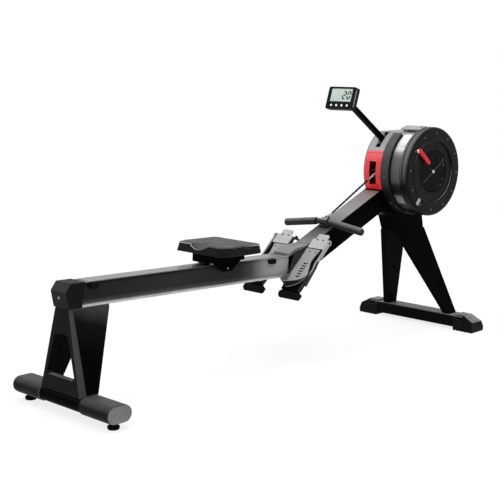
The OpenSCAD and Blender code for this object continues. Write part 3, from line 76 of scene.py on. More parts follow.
def surface(node, inv=Matrix()):
    """A CAD node's faces, ready to cast rays at."""
    me = nodes[node].data
    return BVHTree.FromPolygons([inv @ v.co for v in me.vertices], [tuple(f.vertices) for f in me.polygons])


def axes(origin, x, z=None, y=(0, 1, 0)):
    """A right-handed set of axes across the machine's Y, as a matrix from its own metres to the frame's."""
    y = Vector(y)
    if z is None:
        x = Vector(x).normalized()
        z = x.cross(y)
    else:
        z = Vector(z).normalized()
        x = y.cross(z)
    m = Matrix((x, y, z)).transposed().to_4x4()
    m.translation = Vector(origin)
    return m


def local_box(node, m, keep=None):
    """Lowest and highest corner of a CAD node in the axes m."""
    inv = m.inverted()
    pts = [inv @ v.co for v in nodes[node].data.vertices]
    if keep:
        pts = [p for p in pts if keep(p)]
    return [Vector([f(p[i] for p in pts) for i in range(3)]) for f in (min, max)]


HUB = Vector(joints["fan_spin"]["pos_m"])
RAIL = axes((0, 0, 0), joints["seat_slide"]["axis"])
BEAM = axes((0, 0, 0), joints["trolley_run"]["axis"])
FOOT = axes((0, 0, 0), -Vector(joints["left_heel_slide"]["axis"]))
FACE = axes((0, 0, 0), None, z=-Vector(joints["button_1_press"]["axis"]))
bar_lo, bar_hi = local_box("handle_bar", Matrix(), keep=lambda p: abs(p.y) < 0.0355)
HANDLE_AT = Vector(((bar_lo.x + bar_hi.x) / 2, 0, (bar_lo.z + bar_hi.z) / 2))
PIN_AT = Vector(joints["shackle_turn"]["pos_m"])
RAIL_AHEAD, _, RAIL_UP = RAIL.to_3x3().col
FOOT_AHEAD, _, FOOT_UP = FOOT.to_3x3().col
UP, REAR, RIGHT, LEFT = (0, 0, 1), (-1, 0, 0), (0, -1, 0), (0, 1, 0)


# ---- Materials ----
def lin(*rgb):
    return tuple((c / 255 / 12.92 if c <= 10 else ((c / 255 + 0.055) / 1.055) ** 2.4) for c in rgb)


class Shade:
    """A procedural material in the frame's own metres."""

    def __init__(self, name, rough=0.5, metal=0.0, spec=0.3, **more):
        self.mat = bpy.data.materials.new(name)
        self.mat.use_nodes = True
        self.nt = self.mat.node_tree
        self.nt.nodes.clear()
        self.out = self.node("ShaderNodeOutputMaterial")
        self.bsdf = self.node("ShaderNodeBsdfPrincipled")
        self.link(self.bsdf.outputs[0], self.out.inputs[0])
        self.tex = self.node("ShaderNodeTexCoord")
        self.where = self.tex.outputs["Object"]
        self.put("Roughness", rough)
        self.put("Metallic", metal)
        self.put("Specular IOR Level", spec)
        for key, value in more.items():
            self.put(key.replace("_", " "), value)
        self.bumped = None

    def node(self, kind, **props):
        n = self.nt.nodes.new(kind)
        for k, v in props.items():
            setattr(n, k, v)
        return n

    def link(self, a, b):
        self.nt.links.new(a, b)

    def put(self, socket, value):
        s = self.bsdf.inputs[socket]
        if isinstance(value, bpy.types.NodeSocket):
            self.link(value, s)
        elif s.type == "RGBA":
            s.default_value = (*value, 1)
        else:
            s.default_value = value
        return self

    def mapped(self, turn=None, scale=(1, 1, 1)):
        """The object's coordinates along other axes, stretched by scale."""
        m = self.node("ShaderNodeMapping", vector_type="POINT")
        m.inputs["Scale"].default_value = scale
        source = self.where
        if turn is not None:
            r = self.node("ShaderNodeMapping", vector_type="POINT")
            r.inputs["Rotation"].default_value = turn.to_3x3().inverted().to_euler()
            self.link(source, r.inputs[0])
            source = r.outputs[0]
        self.link(source, m.inputs[0])
        return m.outputs[0]

    def noise(self, scale, detail=3, rough=0.55, at=None, distortion=0.0):
        n = self.node("ShaderNodeTexNoise")
        n.inputs["Scale"].default_value = scale
        n.inputs["Detail"].default_value = detail
        n.inputs["Roughness"].default_value = rough
        n.inputs["Distortion"].default_value = distortion
        self.link(at or self.where, n.inputs["Vector"])
        return n.outputs["Fac"]

    def ramp(self, fac, *stops):
        """Colours or greys against fac: (place, colour) pairs."""
        r = self.node("ShaderNodeValToRGB")
        e = r.color_ramp.elements
        while len(e) < len(stops):
            e.new(0.5)
        for i, (p, c) in enumerate(stops):
            e[i].position = p
            e[i].color = (*c, 1) if isinstance(c, tuple) else (c, c, c, 1)
        self.link(fac, r.inputs[0])
        return r.outputs[0]

    def math(self, op, a, b):
        n = self.node("ShaderNodeMath", operation=op)
        for i, v in enumerate((a, b)):
            if isinstance(v, bpy.types.NodeSocket):
                self.link(v, n.inputs[i])
            else:
                n.inputs[i].default_value = v
        return n.outputs[0]

    def mix(self, fac, a, b):
        n = self.node("ShaderNodeMix", data_type="RGBA")
        for i, v in ((0, fac), (6, a), (7, b)):
            if isinstance(v, bpy.types.NodeSocket):
                self.link(v, n.inputs[i])
            elif isinstance(v, tuple):
                n.inputs[i].default_value = (*v, 1)
            else:
                n.inputs[i].default_value = v
        return n.outputs[2]

    def span(self, value, start, end):
        """0 to 1 while value runs from start to end."""
        m = self.node("ShaderNodeMapRange")
        m.inputs["From Min"].default_value = start
        m.inputs["From Max"].default_value = end
        self.link(value, m.inputs["Value"])
        return m.outputs[0]

    def dot(self, a, b):
        """The part of vector a along b, which is a vector or a socket."""
        d = self.node("ShaderNodeVectorMath", operation="DOT_PRODUCT")
        self.link(a, d.inputs[0])
        if isinstance(b, bpy.types.NodeSocket):
            self.link(b, d.inputs[1])
        else:
            d.inputs[1].default_value = b
        return d.outputs["Value"]

    def axis(self, direction, start, end):
        """0 to 1 along a direction of the object's space, between two distances in metres."""
        return self.span(self.dot(self.where, direction), start, end)

    def facing(self, direction, start=0.0, end=1.0):
        """How far the surface faces a direction of the object's space."""
        return self.span(self.dot(self.tex.outputs["Normal"], direction), start, end)

    def bump(self, height, strength=0.3, depth=0.0003):
        b = self.node("ShaderNodeBump")
        b.inputs["Strength"].default_value = strength
        b.inputs["Distance"].default_value = depth
        self.link(height, b.inputs["Height"])
        if self.bumped:
            self.link(self.bumped, b.inputs["Normal"])
        self.bumped = b.outputs[0]
        self.put("Normal", self.bumped)
        return self

    def edges(self, radius=0.002, start=0.02, end=0.25):
        """1 on the outer edges of the shape, where paint wears and where edge highlights are painted."""
        near = self.node("ShaderNodeBevel", samples=4)
        near.inputs["Radius"].default_value = radius
        plain = self.node("ShaderNodeNewGeometry")
        return self.span(self.dot(near.outputs[0], plain.outputs["Normal"]), 1 - start, 1 - end)

    def tones(self, fac, *stops):
        """Colours against fac, each stop a place and three values out of 255."""
        return self.ramp(fac, *((place, lin(*rgb)) for place, *rgb in stops))

    def two(self, fac, low, high):
        """A mottle between two colours."""
        return self.tones(fac, (0.3, *low), (0.7, *high))

    def gloss(self, scale, low, high):
        """An uneven roughness."""
        return self.put("Roughness", self.ramp(self.noise(scale, 3), (0.3, low), (0.75, high)))

    def coat(self, paint, gloss, grain, peel, depth):
        """Ends a material with its colour, its gloss in patches and a fine grain."""
        self.put("Base Color", paint)
        self.gloss(*gloss)
        return self.bump(self.noise(grain, 3), peel, depth)

    def wear_and_edge_highlight(self, paint, colour, low=0.3, high=0.9):
        """The paint, rubbed through in patches along its edges: paler edges that are partly wear and partly
        painted highlight.
        """
        patches = self.ramp(self.noise(60, 4), (0.38, low), (0.62, high))
        return self.mix(self.math("MULTIPLY", self.edges(), patches), paint, lin(*colour))


def finish(name, colour, rough=(0.35, 0.5), mottle=0.12, patch=9, grain=500, peel=0.15, depth=0.00025,
           wear_and_edge_highlight=None, dust=None, faces=(), **more):
    """Paint or moulded plastic: a mottled colour, an uneven gloss, a fine grain, and paler edges that are
    partly wear and partly painted highlight.

    faces holds (direction, start, end, colour): a tone of painted light and shade for the surfaces that face
    a direction."""
    s = Shade(name, **more)
    base = lin(*colour)
    broad = s.noise(patch, 4, distortion=0.3)

    def toned(c):
        c = lin(*c)
        return s.ramp(broad, (0.3, tuple(v * (1 - mottle) for v in c)),
                      (0.7, tuple(min(1, v * (1 + mottle) + 0.0012 * mottle) for v in c)))

    paint = toned(colour)
    # Painted light and shade: each faces tone on the surfaces turned its way
    for direction, start, end, tone in faces:
        paint = s.mix(s.facing(direction, start, end), paint, toned(tone))
    speck = s.noise(grain * 0.6, 2)
    pale = tuple(min(1, c * 1.3 + 0.001) for c in base)
    paint = s.mix(s.ramp(speck, (0.45, 0.0), (0.8, 0.35)), paint, pale)
    if dust:
        patches = s.ramp(s.noise(40, 5), (0.45, 0.0), (0.8, 0.35))
        paint = s.mix(s.math("MULTIPLY", s.facing(UP, 0.5, 1.0), patches), paint, lin(*dust))
    if wear_and_edge_highlight:
        paint = s.wear_and_edge_highlight(paint, wear_and_edge_highlight)
    return s.coat(paint, (patch * 3, *rough), grain, peel, depth)


def metal(name, colour, rough=(0.18, 0.32), grain=(30, 900, 900), turn=None, dark=0.75, **more):
    """Drawn, brushed or plated metal with fine lines along its length."""
    s = Shade(name, metal=1.0, **more)
    base = lin(*colour)
    lines = s.noise(1.0, 3, at=s.mapped(turn, grain))
    cloud = s.noise(14, 4, distortion=0.4)
    s.put("Base Color", s.mix(s.ramp(cloud, (0.3, 0.0), (0.75, 1.0)),
                              s.ramp(lines, (0.3, tuple(c * dark for c in base)), (0.7, base)), base))
    s.put("Roughness", s.ramp(lines, (0.3, rough[0]), (0.7, rough[1])))
    s.bump(lines, 0.12, 0.0001)
    return s


PRESSED = {"grain": 650, "peel": 0.5, "depth": 0.0004}      # grained footplates
COATED = {"grain": 700, "peel": 0.18}                       # powder-coated steel
MOULDED = {"grain": 520, "peel": 0.25}                      # plastic cases
RUBBER = {"grain": 450, "peel": 0.3, "spec": 0.06}          # foot caps
COVER = {"mottle": 0.15, "grain": 420, "peel": 0.12, "spec": 0.06}
# In this table each faces tone is painted light and shade on the surfaces turned one way, and the paler edges
# are partly painted highlight
M = {
    "track": metal("running_strip", (118, 119, 121), turn=RAIL, rough=(0.22, 0.38)),
    "cap_plastic": finish("cap_plastic", (14, 14, 14), (0.4, 0.55), spec=0.05, wear_and_edge_highlight=(120, 120, 120),
                          faces=[(REAR, 0.3, 0.9, (22, 22, 23)), ((-0.7, 0, 0.7), 0.8, 0.98, (46, 46, 47))]),
    "black_rubber": finish("black_rubber", (13, 13, 13), (0.55, 0.75), mottle=0.15, grain=350, peel=0.3,
                           spec=0.03, dust=(45, 45, 45), wear_and_edge_highlight=(50, 50, 50)),
    "grip_foam": finish("grip_foam", (38, 38, 38), (0.5, 0.65), mottle=0.12, grain=650, peel=0.4, spec=0.08,
                        faces=[(UP, 0.1, 0.9, (108, 108, 108))]),
    # Painted reflections: the bracket's strong pale mottle and its paler top
    "bracket": finish("bracket_plate", (34, 34, 35), (0.25, 0.4), mottle=0.8, patch=70, spec=0.2,
                      wear_and_edge_highlight=(190, 190, 190), faces=[(UP, 0.5, 0.95, (120, 120, 121))]),
    "black_steel": finish("black_steel", (2, 2, 2), (0.3, 0.45), mottle=0.3, **COATED, spec=0.008,
                          wear_and_edge_highlight=(38, 38, 38), faces=[(UP, 0.5, 0.95, (24, 24, 24))]),
    "cheek_steel": finish("cheek_steel", (5, 5, 5), (0.35, 0.5), mottle=0.3, **COATED, spec=0.02,
                          wear_and_edge_highlight=(60, 60, 60), faces=[(RIGHT, 0.7, 0.95, (58, 58, 58))]),
    "cradle_rubber": finish("cradle_rubber", (40, 40, 40), (0.5, 0.65), mottle=0.15, grain=400, peel=0.3,
                            spec=0.06, faces=[(UP, 0.3, 0.9, (108, 107, 107))]),
    "grille": finish("grille", (8, 8, 8), (0.3, 0.4), mottle=0.2, grain=500, spec=0.05, wear_and_edge_highlight=(64, 64, 66)),
    # Painted highlights: the paler tops of the front tube and caps, and the paler outer ends of the rear caps
    "foot_steel": finish("foot_steel", (4, 4, 4), (0.3, 0.45), mottle=0.25, **COATED, spec=0.03,
                         wear_and_edge_highlight=(60, 60, 60), faces=[(UP, 0.55, 0.95, (116, 116, 117))]),
    "foot_cap": finish("foot_cap", (8, 8, 8), (0.4, 0.55), **RUBBER, wear_and_edge_highlight=(80, 80, 80),
                       faces=[(UP, 0.3, 0.95, (66, 66, 67)), (RIGHT, 0.97, 0.998, (116, 116, 117))]),
    "front_cap": finish("front_cap", (9, 9, 9), (0.4, 0.55), mottle=0.5, patch=22, **RUBBER,
                        wear_and_edge_highlight=(84, 84, 84), faces=[(UP, 0.4, 0.9, (112, 112, 113))]),
    "footplate": finish("footplate", (140, 140, 140), (0.5, 0.62), mottle=0.06, **PRESSED, spec=0.2,
                        wear_and_edge_highlight=(205, 205, 205)),
    "toe_plate": finish("toe_plate", (164, 164, 164), (0.5, 0.62), mottle=0.16, patch=130, **PRESSED,
                        spec=0.2, wear_and_edge_highlight=(205, 205, 205)),
    "bead": finish("bead", (150, 150, 151), (0.35, 0.5), mottle=0.06, grain=600, peel=0.1, spec=0.15),
    "dark_cover": finish("dark_cover", (14, 14, 15), (0.26, 0.38), **COVER, wear_and_edge_highlight=(62, 62, 64)),
    "left_cover": finish("left_cover", (24, 24, 25), (0.32, 0.46), mottle=0.2, patch=14, grain=420, peel=0.25,
                         spec=0.1, wear_and_edge_highlight=(80, 80, 82), faces=[(LEFT, 0.7, 0.98, (36, 36, 37))]),
    "flange_plate": finish("flange_plate", (20, 20, 21), (0.3, 0.42), **COVER, wear_and_edge_highlight=(90, 90, 92),
                           faces=[((-0.7, 0, 0.7), 0.3, 0.98, (80, 80, 81))]),
    "red": finish("red", (196, 22, 28), (0.28, 0.4), mottle=0.06, grain=500, peel=0.08, spec=0.2),
    "bright": metal("bright_metal", (190, 190, 193), rough=(0.2, 0.35), grain=(300, 300, 300)),
    "fan_screw": metal("fan_screw", (135, 135, 138), rough=(0.25, 0.4), grain=(500, 500, 500)),
    # Painted highlight: the grille's two pale ribs
    "rib": finish("rib", (92, 92, 94), (0.3, 0.4), mottle=0.1, grain=700, spec=0.2),
    # Painted highlight on the wall's rim, and painted shade on its outer side and underneath
    "heel_wall": finish("heel_wall", (80, 80, 80), (0.5, 0.62), mottle=0.12, **PRESSED, spec=0.15,
                        wear_and_edge_highlight=(205, 205, 205),
                        faces=[(-FOOT_AHEAD, 0.2, 0.7, (16, 16, 16)), ((0, 0, -1), 0.2, 0.7, (14, 14, 14)),
                               (FOOT_UP, 0.75, 0.95, (172, 172, 172))]),
    "screw": finish("screw_steel", (14, 14, 14), (0.3, 0.4), mottle=0.2, grain=900, spec=0.06),
    "steel": metal("turned_steel", (120, 120, 122), rough=(0.3, 0.45), grain=(200, 20, 200)),
    "black_plastic": finish("black_plastic", (12, 12, 12), (0.38, 0.5), mottle=0.15, **MOULDED, spec=0.06,
                            wear_and_edge_highlight=(80, 80, 80)),
    "pan_plastic": finish("pan_plastic", (8, 8, 8), (0.38, 0.5), mottle=0.2, **MOULDED, spec=0.05,
                          wear_and_edge_highlight=(70, 70, 70), faces=[(REAR, 0.6, 0.95, (40, 40, 41))]),
    "roller": finish("roller", (205, 205, 202), (0.35, 0.5), mottle=0.04, grain=300, spec=0.3),
    "white_button": finish("white_button", (215, 216, 218), (0.3, 0.4), mottle=0.02, grain=500, spec=0.3),
}


def leg_paint():
    """Satin black rear leg with a grey strip down each rear corner, outside the gloss panels, and painted
    light on its faces turned to the rear and up.
    """
    s = Shade("leg_paint", spec=0.02)
    broad = s.noise(9, 4, distortion=0.3)
    paint = s.two(broad, (3, 3, 3), (5, 5, 5))
    # Painted light on the faces turned to the rear
    paint = s.mix(s.facing(REAR, 0.6, 0.95), paint, s.two(broad, (15, 15, 15), (22, 22, 22)))
    me = nodes["rear_leg"].data
    for way in (-1, 1):
        walls = [f for f in me.polygons if f.normal.y * way > 0.8]
        wall = max(walls, key=lambda f: f.center.y * way + f.area)
        d = wall.normal.dot(wall.center)
        paint = s.mix(s.axis(tuple(wall.normal), d - 0.002, d - 0.0008), paint,
                      s.two(broad, (58, 58, 59), (66, 66, 67)))
    # Painted light on the faces turned up
    paint = s.mix(s.facing(UP, 0.6, 0.9), paint, s.two(broad, (84, 84, 85), (104, 104, 105)))
    return s.coat(s.wear_and_edge_highlight(paint, (70, 70, 70)), (27, 0.3, 0.45), 700, 0.18, 0.00025)


def panel_gloss():
    """Gloss black panel with a painted highlight along its top."""
    s = Shade("gloss_panel", spec=0.015)
    lo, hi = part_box("rear_leg_panels")
    # Painted highlight, rising toward the top
    lit = s.axis((0.35, 0, 1), lo.z + 0.35 * lo.x, hi.z + 0.35 * hi.x)
    tone = s.tones(lit, (0.0, 2, 2, 2), (0.45, 3, 3, 3), (0.75, 18, 18, 18), (1.0, 66, 66, 66))
    paint = s.mix(s.ramp(s.noise(10, 4), (0.35, 0.0), (0.7, 0.3)), tone, lin(2, 2, 2))
    return s.coat(paint, (30, 0.1, 0.22), 300, 0.05, 0.0002)


def shell_paint():
    """Pale grey housing, darker on its flat top and black underneath, below the beam."""
    s = Shade("light_shell", spec=0.2)
    cloud = s.noise(9, 4, distortion=0.3)
    pale = s.two(cloud, (184, 185, 187), (194, 195, 197))
    flat = s.two(cloud, (112, 112, 113), (122, 122, 123))
    dark = s.two(cloud, (10, 10, 10), (16, 16, 16))
    paint = s.mix(s.facing(UP, 0.3, 0.9), pale, flat)
    paint = s.mix(s.axis(UP, HUB.z - 0.135, HUB.z - 0.145), paint, dark)
    return s.coat(paint, (30, 0.3, 0.42), 500, 0.1, 0.00025)


def cover_paint():
    """Satin black fan cover, with painted highlights on the faces turned up and to the rear: bands across its
    rim, and a brighter one on the wall of its recess.
    """
    s = Shade("cover_paint", spec=0.06)
    lo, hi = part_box("fan_cover")
    cloud = s.noise(9, 4, distortion=0.3)
    depth = s.axis(LEFT, lo.y, hi.y)
    # Painted highlight bands across the rim
    rim = s.tones(depth, (0.0, 30, 30, 31), (0.22, 88, 88, 90), (0.5, 104, 104, 106),
                  (0.7, 52, 52, 53), (0.76, 10, 10, 10), (0.82, 120, 120, 122),
                  (0.92, 84, 84, 86), (1.0, 8, 8, 8))
    out = s.node("ShaderNodeVectorMath", operation="DISTANCE")
    flat = s.node("ShaderNodeVectorMath", operation="MULTIPLY")
    s.link(s.where, flat.inputs[0])
    flat.inputs[1].default_value = (1, 0, 1)
    s.link(flat.outputs[0], out.inputs[0])
    out.inputs[1].default_value = (HUB.x, 0, HUB.z)
    r = (hi.x - lo.x) / 2
    # Painted highlight on the wall of the recess
    lit = s.mix(s.span(out.outputs["Value"], r * 0.95, r * 0.92), rim, lin(170, 170, 172))
    paint = s.two(cloud, (12, 12, 13), (17, 17, 18))
    paint = s.mix(s.facing((-0.75, 0, 0.66), 0.55, 0.97), paint, lit)
    return s.coat(s.wear_and_edge_highlight(paint, (62, 62, 64)), (27, 0.26, 0.38), 420, 0.12, 0.00025)


def clamp_paint():
    """Plated clamps at the top of the drum, and a black clip beneath it."""
    s = Shade("clamp_paint", metal=0.3, spec=0.2)
    cloud = s.noise(30, 4, distortion=0.3)
    pale = s.two(cloud, (138, 138, 140), (168, 168, 170))
    dark = s.two(cloud, (14, 14, 14), (26, 26, 26))
    low = s.axis(UP, HUB.z - 0.160, HUB.z - 0.170)
    return s.coat(s.mix(low, pale, dark), (50, 0.3, 0.45), 600, 0.1, 0.0002)


def chain_steel():
    """Oiled black chain, with a painted highlight where it runs into the fan and a fainter one next to the
    shackle.
    """
    s = Shade("chain_steel", metal=0.1, spec=0.06)
    d = PIN_AT - HANDLE_AT
    far = HUB - PIN_AT
    run = s.axis(tuple(d.normalized()), PIN_AT.dot(d.normalized()), PIN_AT.dot(d.normalized()) + far.length)
    # Painted highlights along the chain's run
    tone = s.tones(run, (0.0, 70, 70, 71), (0.1, 6, 6, 6), (0.55, 8, 8, 8),
                   (0.64, 225, 225, 227), (1.0, 235, 235, 237))
    oil = s.noise(220, 3)
    s.put("Base Color", s.mix(s.ramp(oil, (0.4, 0.0), (0.7, 0.3)), tone, lin(60, 60, 62)))
    s.put("Roughness", s.ramp(oil, (0.3, 0.22), (0.7, 0.4)))
    return s.bump(oil, 0.1, 0.0001)


def fairing_paint():
    """Gloss red, with painted light that grows toward the top of the fan's housing."""
    s = Shade("fairing_red", spec=0.25)
    lo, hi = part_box("red_fairing")
    high = s.axis(UP, lo.z, hi.z)
    # Painted light, paler toward the top
    base = s.tones(high, (0.0, 236, 50, 58), (0.3, 226, 44, 50), (0.7, 230, 66, 70),
                   (1.0, 236, 120, 122))
    # The window's cheeks lie in the housing's shade
    cheek = min(abs(f.center.y) for f in nodes["red_fairing"].data.polygons if abs(f.normal.y) > 0.9) + 0.0004
    within = s.math("MULTIPLY", s.axis(LEFT, cheek + 0.001, cheek), s.axis(RIGHT, cheek + 0.001, cheek))
    across = s.math("MAXIMUM", s.facing(LEFT, 0.7, 0.95), s.facing(RIGHT, 0.7, 0.95))
    base = s.mix(s.math("MULTIPLY", within, across), base, lin(40, 6, 8))
    paint = s.mix(s.ramp(s.noise(12, 4), (0.3, 0.0), (0.75, 0.12)), base, lin(160, 14, 20))
    return s.coat(paint, (30, 0.2, 0.34), 500, 0.08, 0.0002)


def rail_paint():
    """Satin grey rail in painted light: its sides carry a painted reflection from near black at the rear to
    pale grey beside the footrests, a painted shadow under the top edge behind the footrests and painted light
    just above the bright bottom lip, and its top is painted lighter than its sides.
    """
    s = Shade("rail_paint", spec=0.06)
    lo, hi = local_box("monorail", RAIL)
    along = s.axis(RAIL_AHEAD, lo.x, hi.x)
    height = s.axis(RAIL_UP, lo.z, hi.z)
    # Painted reflection: the sides run from near black at the rear to pale grey at the front
    side = s.tones(along, (0.0, 20, 20, 21), (0.4, 34, 34, 35), (0.74, 30, 30, 31),
                   (0.8, 64, 64, 65), (0.86, 126, 126, 127), (0.93, 156, 156, 157),
                   (1.0, 165, 165, 166))
    # Painted light: the top is lighter than the sides
    top = s.tones(along, (0.0, 110, 110, 111), (0.2, 90, 90, 91), (0.45, 104, 104, 105),
                  (1.0, 116, 116, 117))
    top = s.mix(s.ramp(s.noise(7, 4), (0.35, 0.0), (0.7, 0.25)), top, lin(126, 126, 127))
    lip = s.ramp(s.noise(9, 4), (0.3, lin(152, 152, 153)), (0.7, lin(182, 182, 183)))
    # Painted shadow under the top edge, behind the footrests, and painted light low on the sides above the
    # lip
    behind = s.ramp(along, (0.7, 1.0), (0.85, 0.0))
    under = s.math("MULTIPLY", s.ramp(height, (0.86, 0.0), (0.91, 1.0)), behind)
    side = s.mix(under, side, lin(9, 9, 9))
    side = s.mix(s.ramp(height, (0.12, 0.35), (0.3, 0.0)), side, lin(110, 110, 111))
    paint = s.mix(s.ramp(height, (0.0, 1.0), (0.115, 1.0), (0.13, 0.0)), side, lip)
    paint = s.mix(s.facing(RAIL_UP, 0.4, 0.7), paint, top)
    lines = s.noise(1.0, 3, at=s.mapped(RAIL, (20, 900, 900)))
    paint = s.mix(s.ramp(lines, (0.35, 0.0), (0.75, 0.03)), paint, lin(150, 150, 150))
    s.put("Base Color", paint)
    s.gloss(30, 0.3, 0.42)
    return s.bump(lines, 0.05, 0.0001)


def beam_plate():
    """Brushed grey trim along the beam's top, with painted light and shade along it, darkest in a painted
    shadow under the handle, and reddish at its front end.
    """
    s = Shade("beam_plate", spec=0.12)
    lo, hi = local_box("beam_trim", BEAM)
    along = s.axis(BEAM.to_3x3().col[0], lo.x, hi.x)
    lines = s.noise(1.0, 3, at=s.mapped(BEAM, (25, 700, 700)))
    # Painted light and shade along the trim, with a painted shadow under the handle
    base = s.tones(along, (0.0, 112, 111, 111), (0.14, 74, 73, 73), (0.3, 62, 61, 61),
                   (0.42, 104, 103, 103), (0.6, 134, 132, 132),
                   (0.92, 118, 108, 108), (1.0, 118, 70, 70))
    s.put("Base Color", s.mix(s.ramp(lines, (0.35, 0.0), (0.75, 0.25)), base, lin(165, 163, 163)))
    s.put("Roughness", s.ramp(lines, (0.3, 0.35), (0.7, 0.5)))
    return s.bump(lines, 0.2, 0.0001)


def bar_paint():
    """Pale side bars that turn black below the heel, with painted shade on the faces turned down."""
    s = Shade("side_bar", spec=0.15)
    lo, hi = local_box("footrest_bars", FOOT)
    along = s.axis(FOOT_AHEAD, lo.x, hi.x)
    cloud = s.noise(12, 4)
    pale = s.two(cloud, (142, 142, 143), (158, 158, 159))
    dark = s.two(cloud, (8, 8, 8), (14, 14, 14))
    paint = s.mix(s.ramp(along, (0.3, 1.0), (0.38, 0.0)), pale, dark)
    # Painted shade on the faces turned down
    paint = s.mix(s.facing(-FOOT_UP, 0.4, 0.9), paint, dark)
    return s.coat(s.wear_and_edge_highlight(paint, (200, 200, 200), 0.2, 0.7), (36, 0.35, 0.5), 600, 0.1, 0.00025)


def drum_steel():
    """Perforated steel of the fan's drum, in painted light and reflection: bright at the top, running to near
    black below.
    """
    s = Shade("drum_steel", metal=0.2, spec=0.15)
    lo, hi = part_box("mesh_drum")
    high = s.axis(UP, lo.z, hi.z)
    # Painted light and reflection in bands by height
    tone = s.tones(high, (0.0, 20, 20, 21), (0.12, 40, 40, 41), (0.15, 150, 150, 152),
                   (0.22, 120, 120, 122), (0.25, 20, 20, 21), (0.36, 24, 24, 25),
                   (0.4, 88, 88, 90), (0.68, 104, 104, 106), (0.74, 160, 160, 161),
                   (0.78, 240, 240, 241), (0.93, 250, 250, 250), (0.98, 130, 130, 131))
    streak = s.noise(1.0, 3, at=s.mapped(None, (22, 2, 22)))
    s.put("Base Color", s.mix(s.ramp(streak, (0.45, 0.0), (0.7, 0.5)), tone, lin(70, 70, 71)))
    s.gloss(60, 0.32, 0.5)
    return s.bump(s.noise(800, 2), 0.1, 0.0001)


def pad_skin():
    """Moulded grey foam skin with a fine pebble grain: its top painted lighter than its near black sides as
    painted light and shade, a painted highlight on the rear right corner, and paler edges that are partly
    wear and partly painted highlight.
    """
    s = Shade("pad_skin", spec=0.08, Sheen_Weight=0.04, Sheen_Roughness=0.5)
    broad = s.noise(7, 4, distortion=0.5)
    base = s.two(broad, (54, 55, 56), (66, 67, 68))
    side = s.two(broad, (6, 6, 6), (10, 10, 10))
    base = s.mix(s.ramp(s.noise(900, 2), (0.5, 0.0), (0.75, 0.25)), base, lin(110, 110, 112))
    # Painted light and shade: the top is grey and the sides near black
    paint = s.mix(s.facing(RAIL_UP, 0.45, 0.9), side, base)
    # A painted highlight where the skin turns over the rear right corner
    way = (-0.7071, -0.7071, 0)
    reach = [Vector(way).dot(v.co) for v in nodes["seat_pad"].data.vertices]
    corner = s.math("MULTIPLY", s.axis(way, max(reach) - 0.11, max(reach) - 0.02),
                    s.ramp(s.noise(10, 3, distortion=0.6), (0.45, 0.0), (0.68, 0.55)))
    corner = s.math("MULTIPLY", corner, s.facing(RAIL_UP, 0.3, 0.7))
    paint = s.mix(corner, paint, lin(112, 112, 114))
    # Paler edges: partly rubbed wear, partly painted highlight
    rub_and_edge_highlight = s.math("MULTIPLY", s.edges(0.005, 0.03, 0.2), s.ramp(s.noise(25, 4), (0.35, 0.1), (0.6, 0.6)))
    s.put("Base Color", s.mix(rub_and_edge_highlight, paint, lin(120, 120, 122)))
    s.gloss(22, 0.5, 0.64)
    s.bump(s.noise(700, 3), 0.35, 0.0004)
    return s.bump(s.noise(120, 2), 0.12, 0.0008)


def rim_skin():
    """The pad's bead, pale as a painted highlight, and darker in the turn of the rear right corner, where
    that painted highlight fades.
    """
    s = Shade("rim_skin", spec=0.1)
    way = (-0.7071, -0.7071, 0)
    reach = max(Vector(way).dot(v.co) for v in nodes["seat_pad"].data.vertices)
    cloud = s.noise(14, 4)
    pale = s.two(cloud, (138, 138, 140), (176, 176, 178))
    dark = s.two(cloud, (58, 58, 59), (92, 92, 93))
    paint = s.mix(s.axis(way, reach - 0.13, reach - 0.08), pale, dark)
    return s.coat(paint, (60, 0.35, 0.5), 700, 0.2, 0.0003)


def weave(name, colour, turn, pitch=0.0011):
    """Webbing: a fine over-and-under weave along its own length."""
    s = Shade(name, spec=0.2, Sheen_Weight=0.15, Sheen_Roughness=0.6)
    where = s.mapped(turn, (1, 1, 1))
    a = s.node("ShaderNodeTexWave", wave_type="BANDS", bands_direction="X")
    b = s.node("ShaderNodeTexWave", wave_type="BANDS", bands_direction="Z")
    for w in (a, b):
        w.inputs["Scale"].default_value = 0.5 / pitch
        w.inputs["Distortion"].default_value = 0.4
        s.link(where, w.inputs["Vector"])
    cross = s.math("MULTIPLY", a.outputs["Fac"], b.outputs["Fac"])
    base = lin(*colour)
    s.put("Base Color", s.mix(cross, tuple(c * 0.55 for c in base), tuple(min(1, c * 1.7) for c in base)))
    s.put("Roughness", s.ramp(s.noise(50, 3), (0.3, 0.65), (0.7, 0.85)))
    return s.bump(cross, 0.6, 0.0004)


def lcd_glass():
    """Grey-green liquid crystal behind a thin clear window."""
    s = Shade("lcd_glass", spec=0.5, Coat_Weight=0.4, Coat_Roughness=0.08)
    s.put("Base Color", s.ramp(s.noise(18, 3), (0.3, lin(164, 178, 168)), (0.7, lin(174, 188, 178))))
    s.put("Roughness", s.ramp(s.noise(60, 2), (0.3, 0.18), (0.7, 0.28)))
    return s.bump(s.noise(1500, 2), 0.04, 0.00005)


M["red_panel"] = fairing_paint()
M["leg_steel"] = leg_paint()
M["gloss_panel"] = panel_gloss()
M["light_shell"] = shell_paint()
M["cover"] = cover_paint()
M["clamp"] = clamp_paint()
M["chain"] = chain_steel()
M["rail"] = rail_paint()
M["side_bar"] = bar_paint()
M["beam_grey"] = beam_plate()
M["mesh"] = drum_steel()
M["seat_foam"] = pad_skin()
M["seat_edge"] = rim_skin()
M["webbing"] = weave("webbing", (20, 20, 21), FOOT)
M["cord"] = weave("cord", (30, 30, 31), BEAM, 0.0016)
M["lcd"] = lcd_glass()

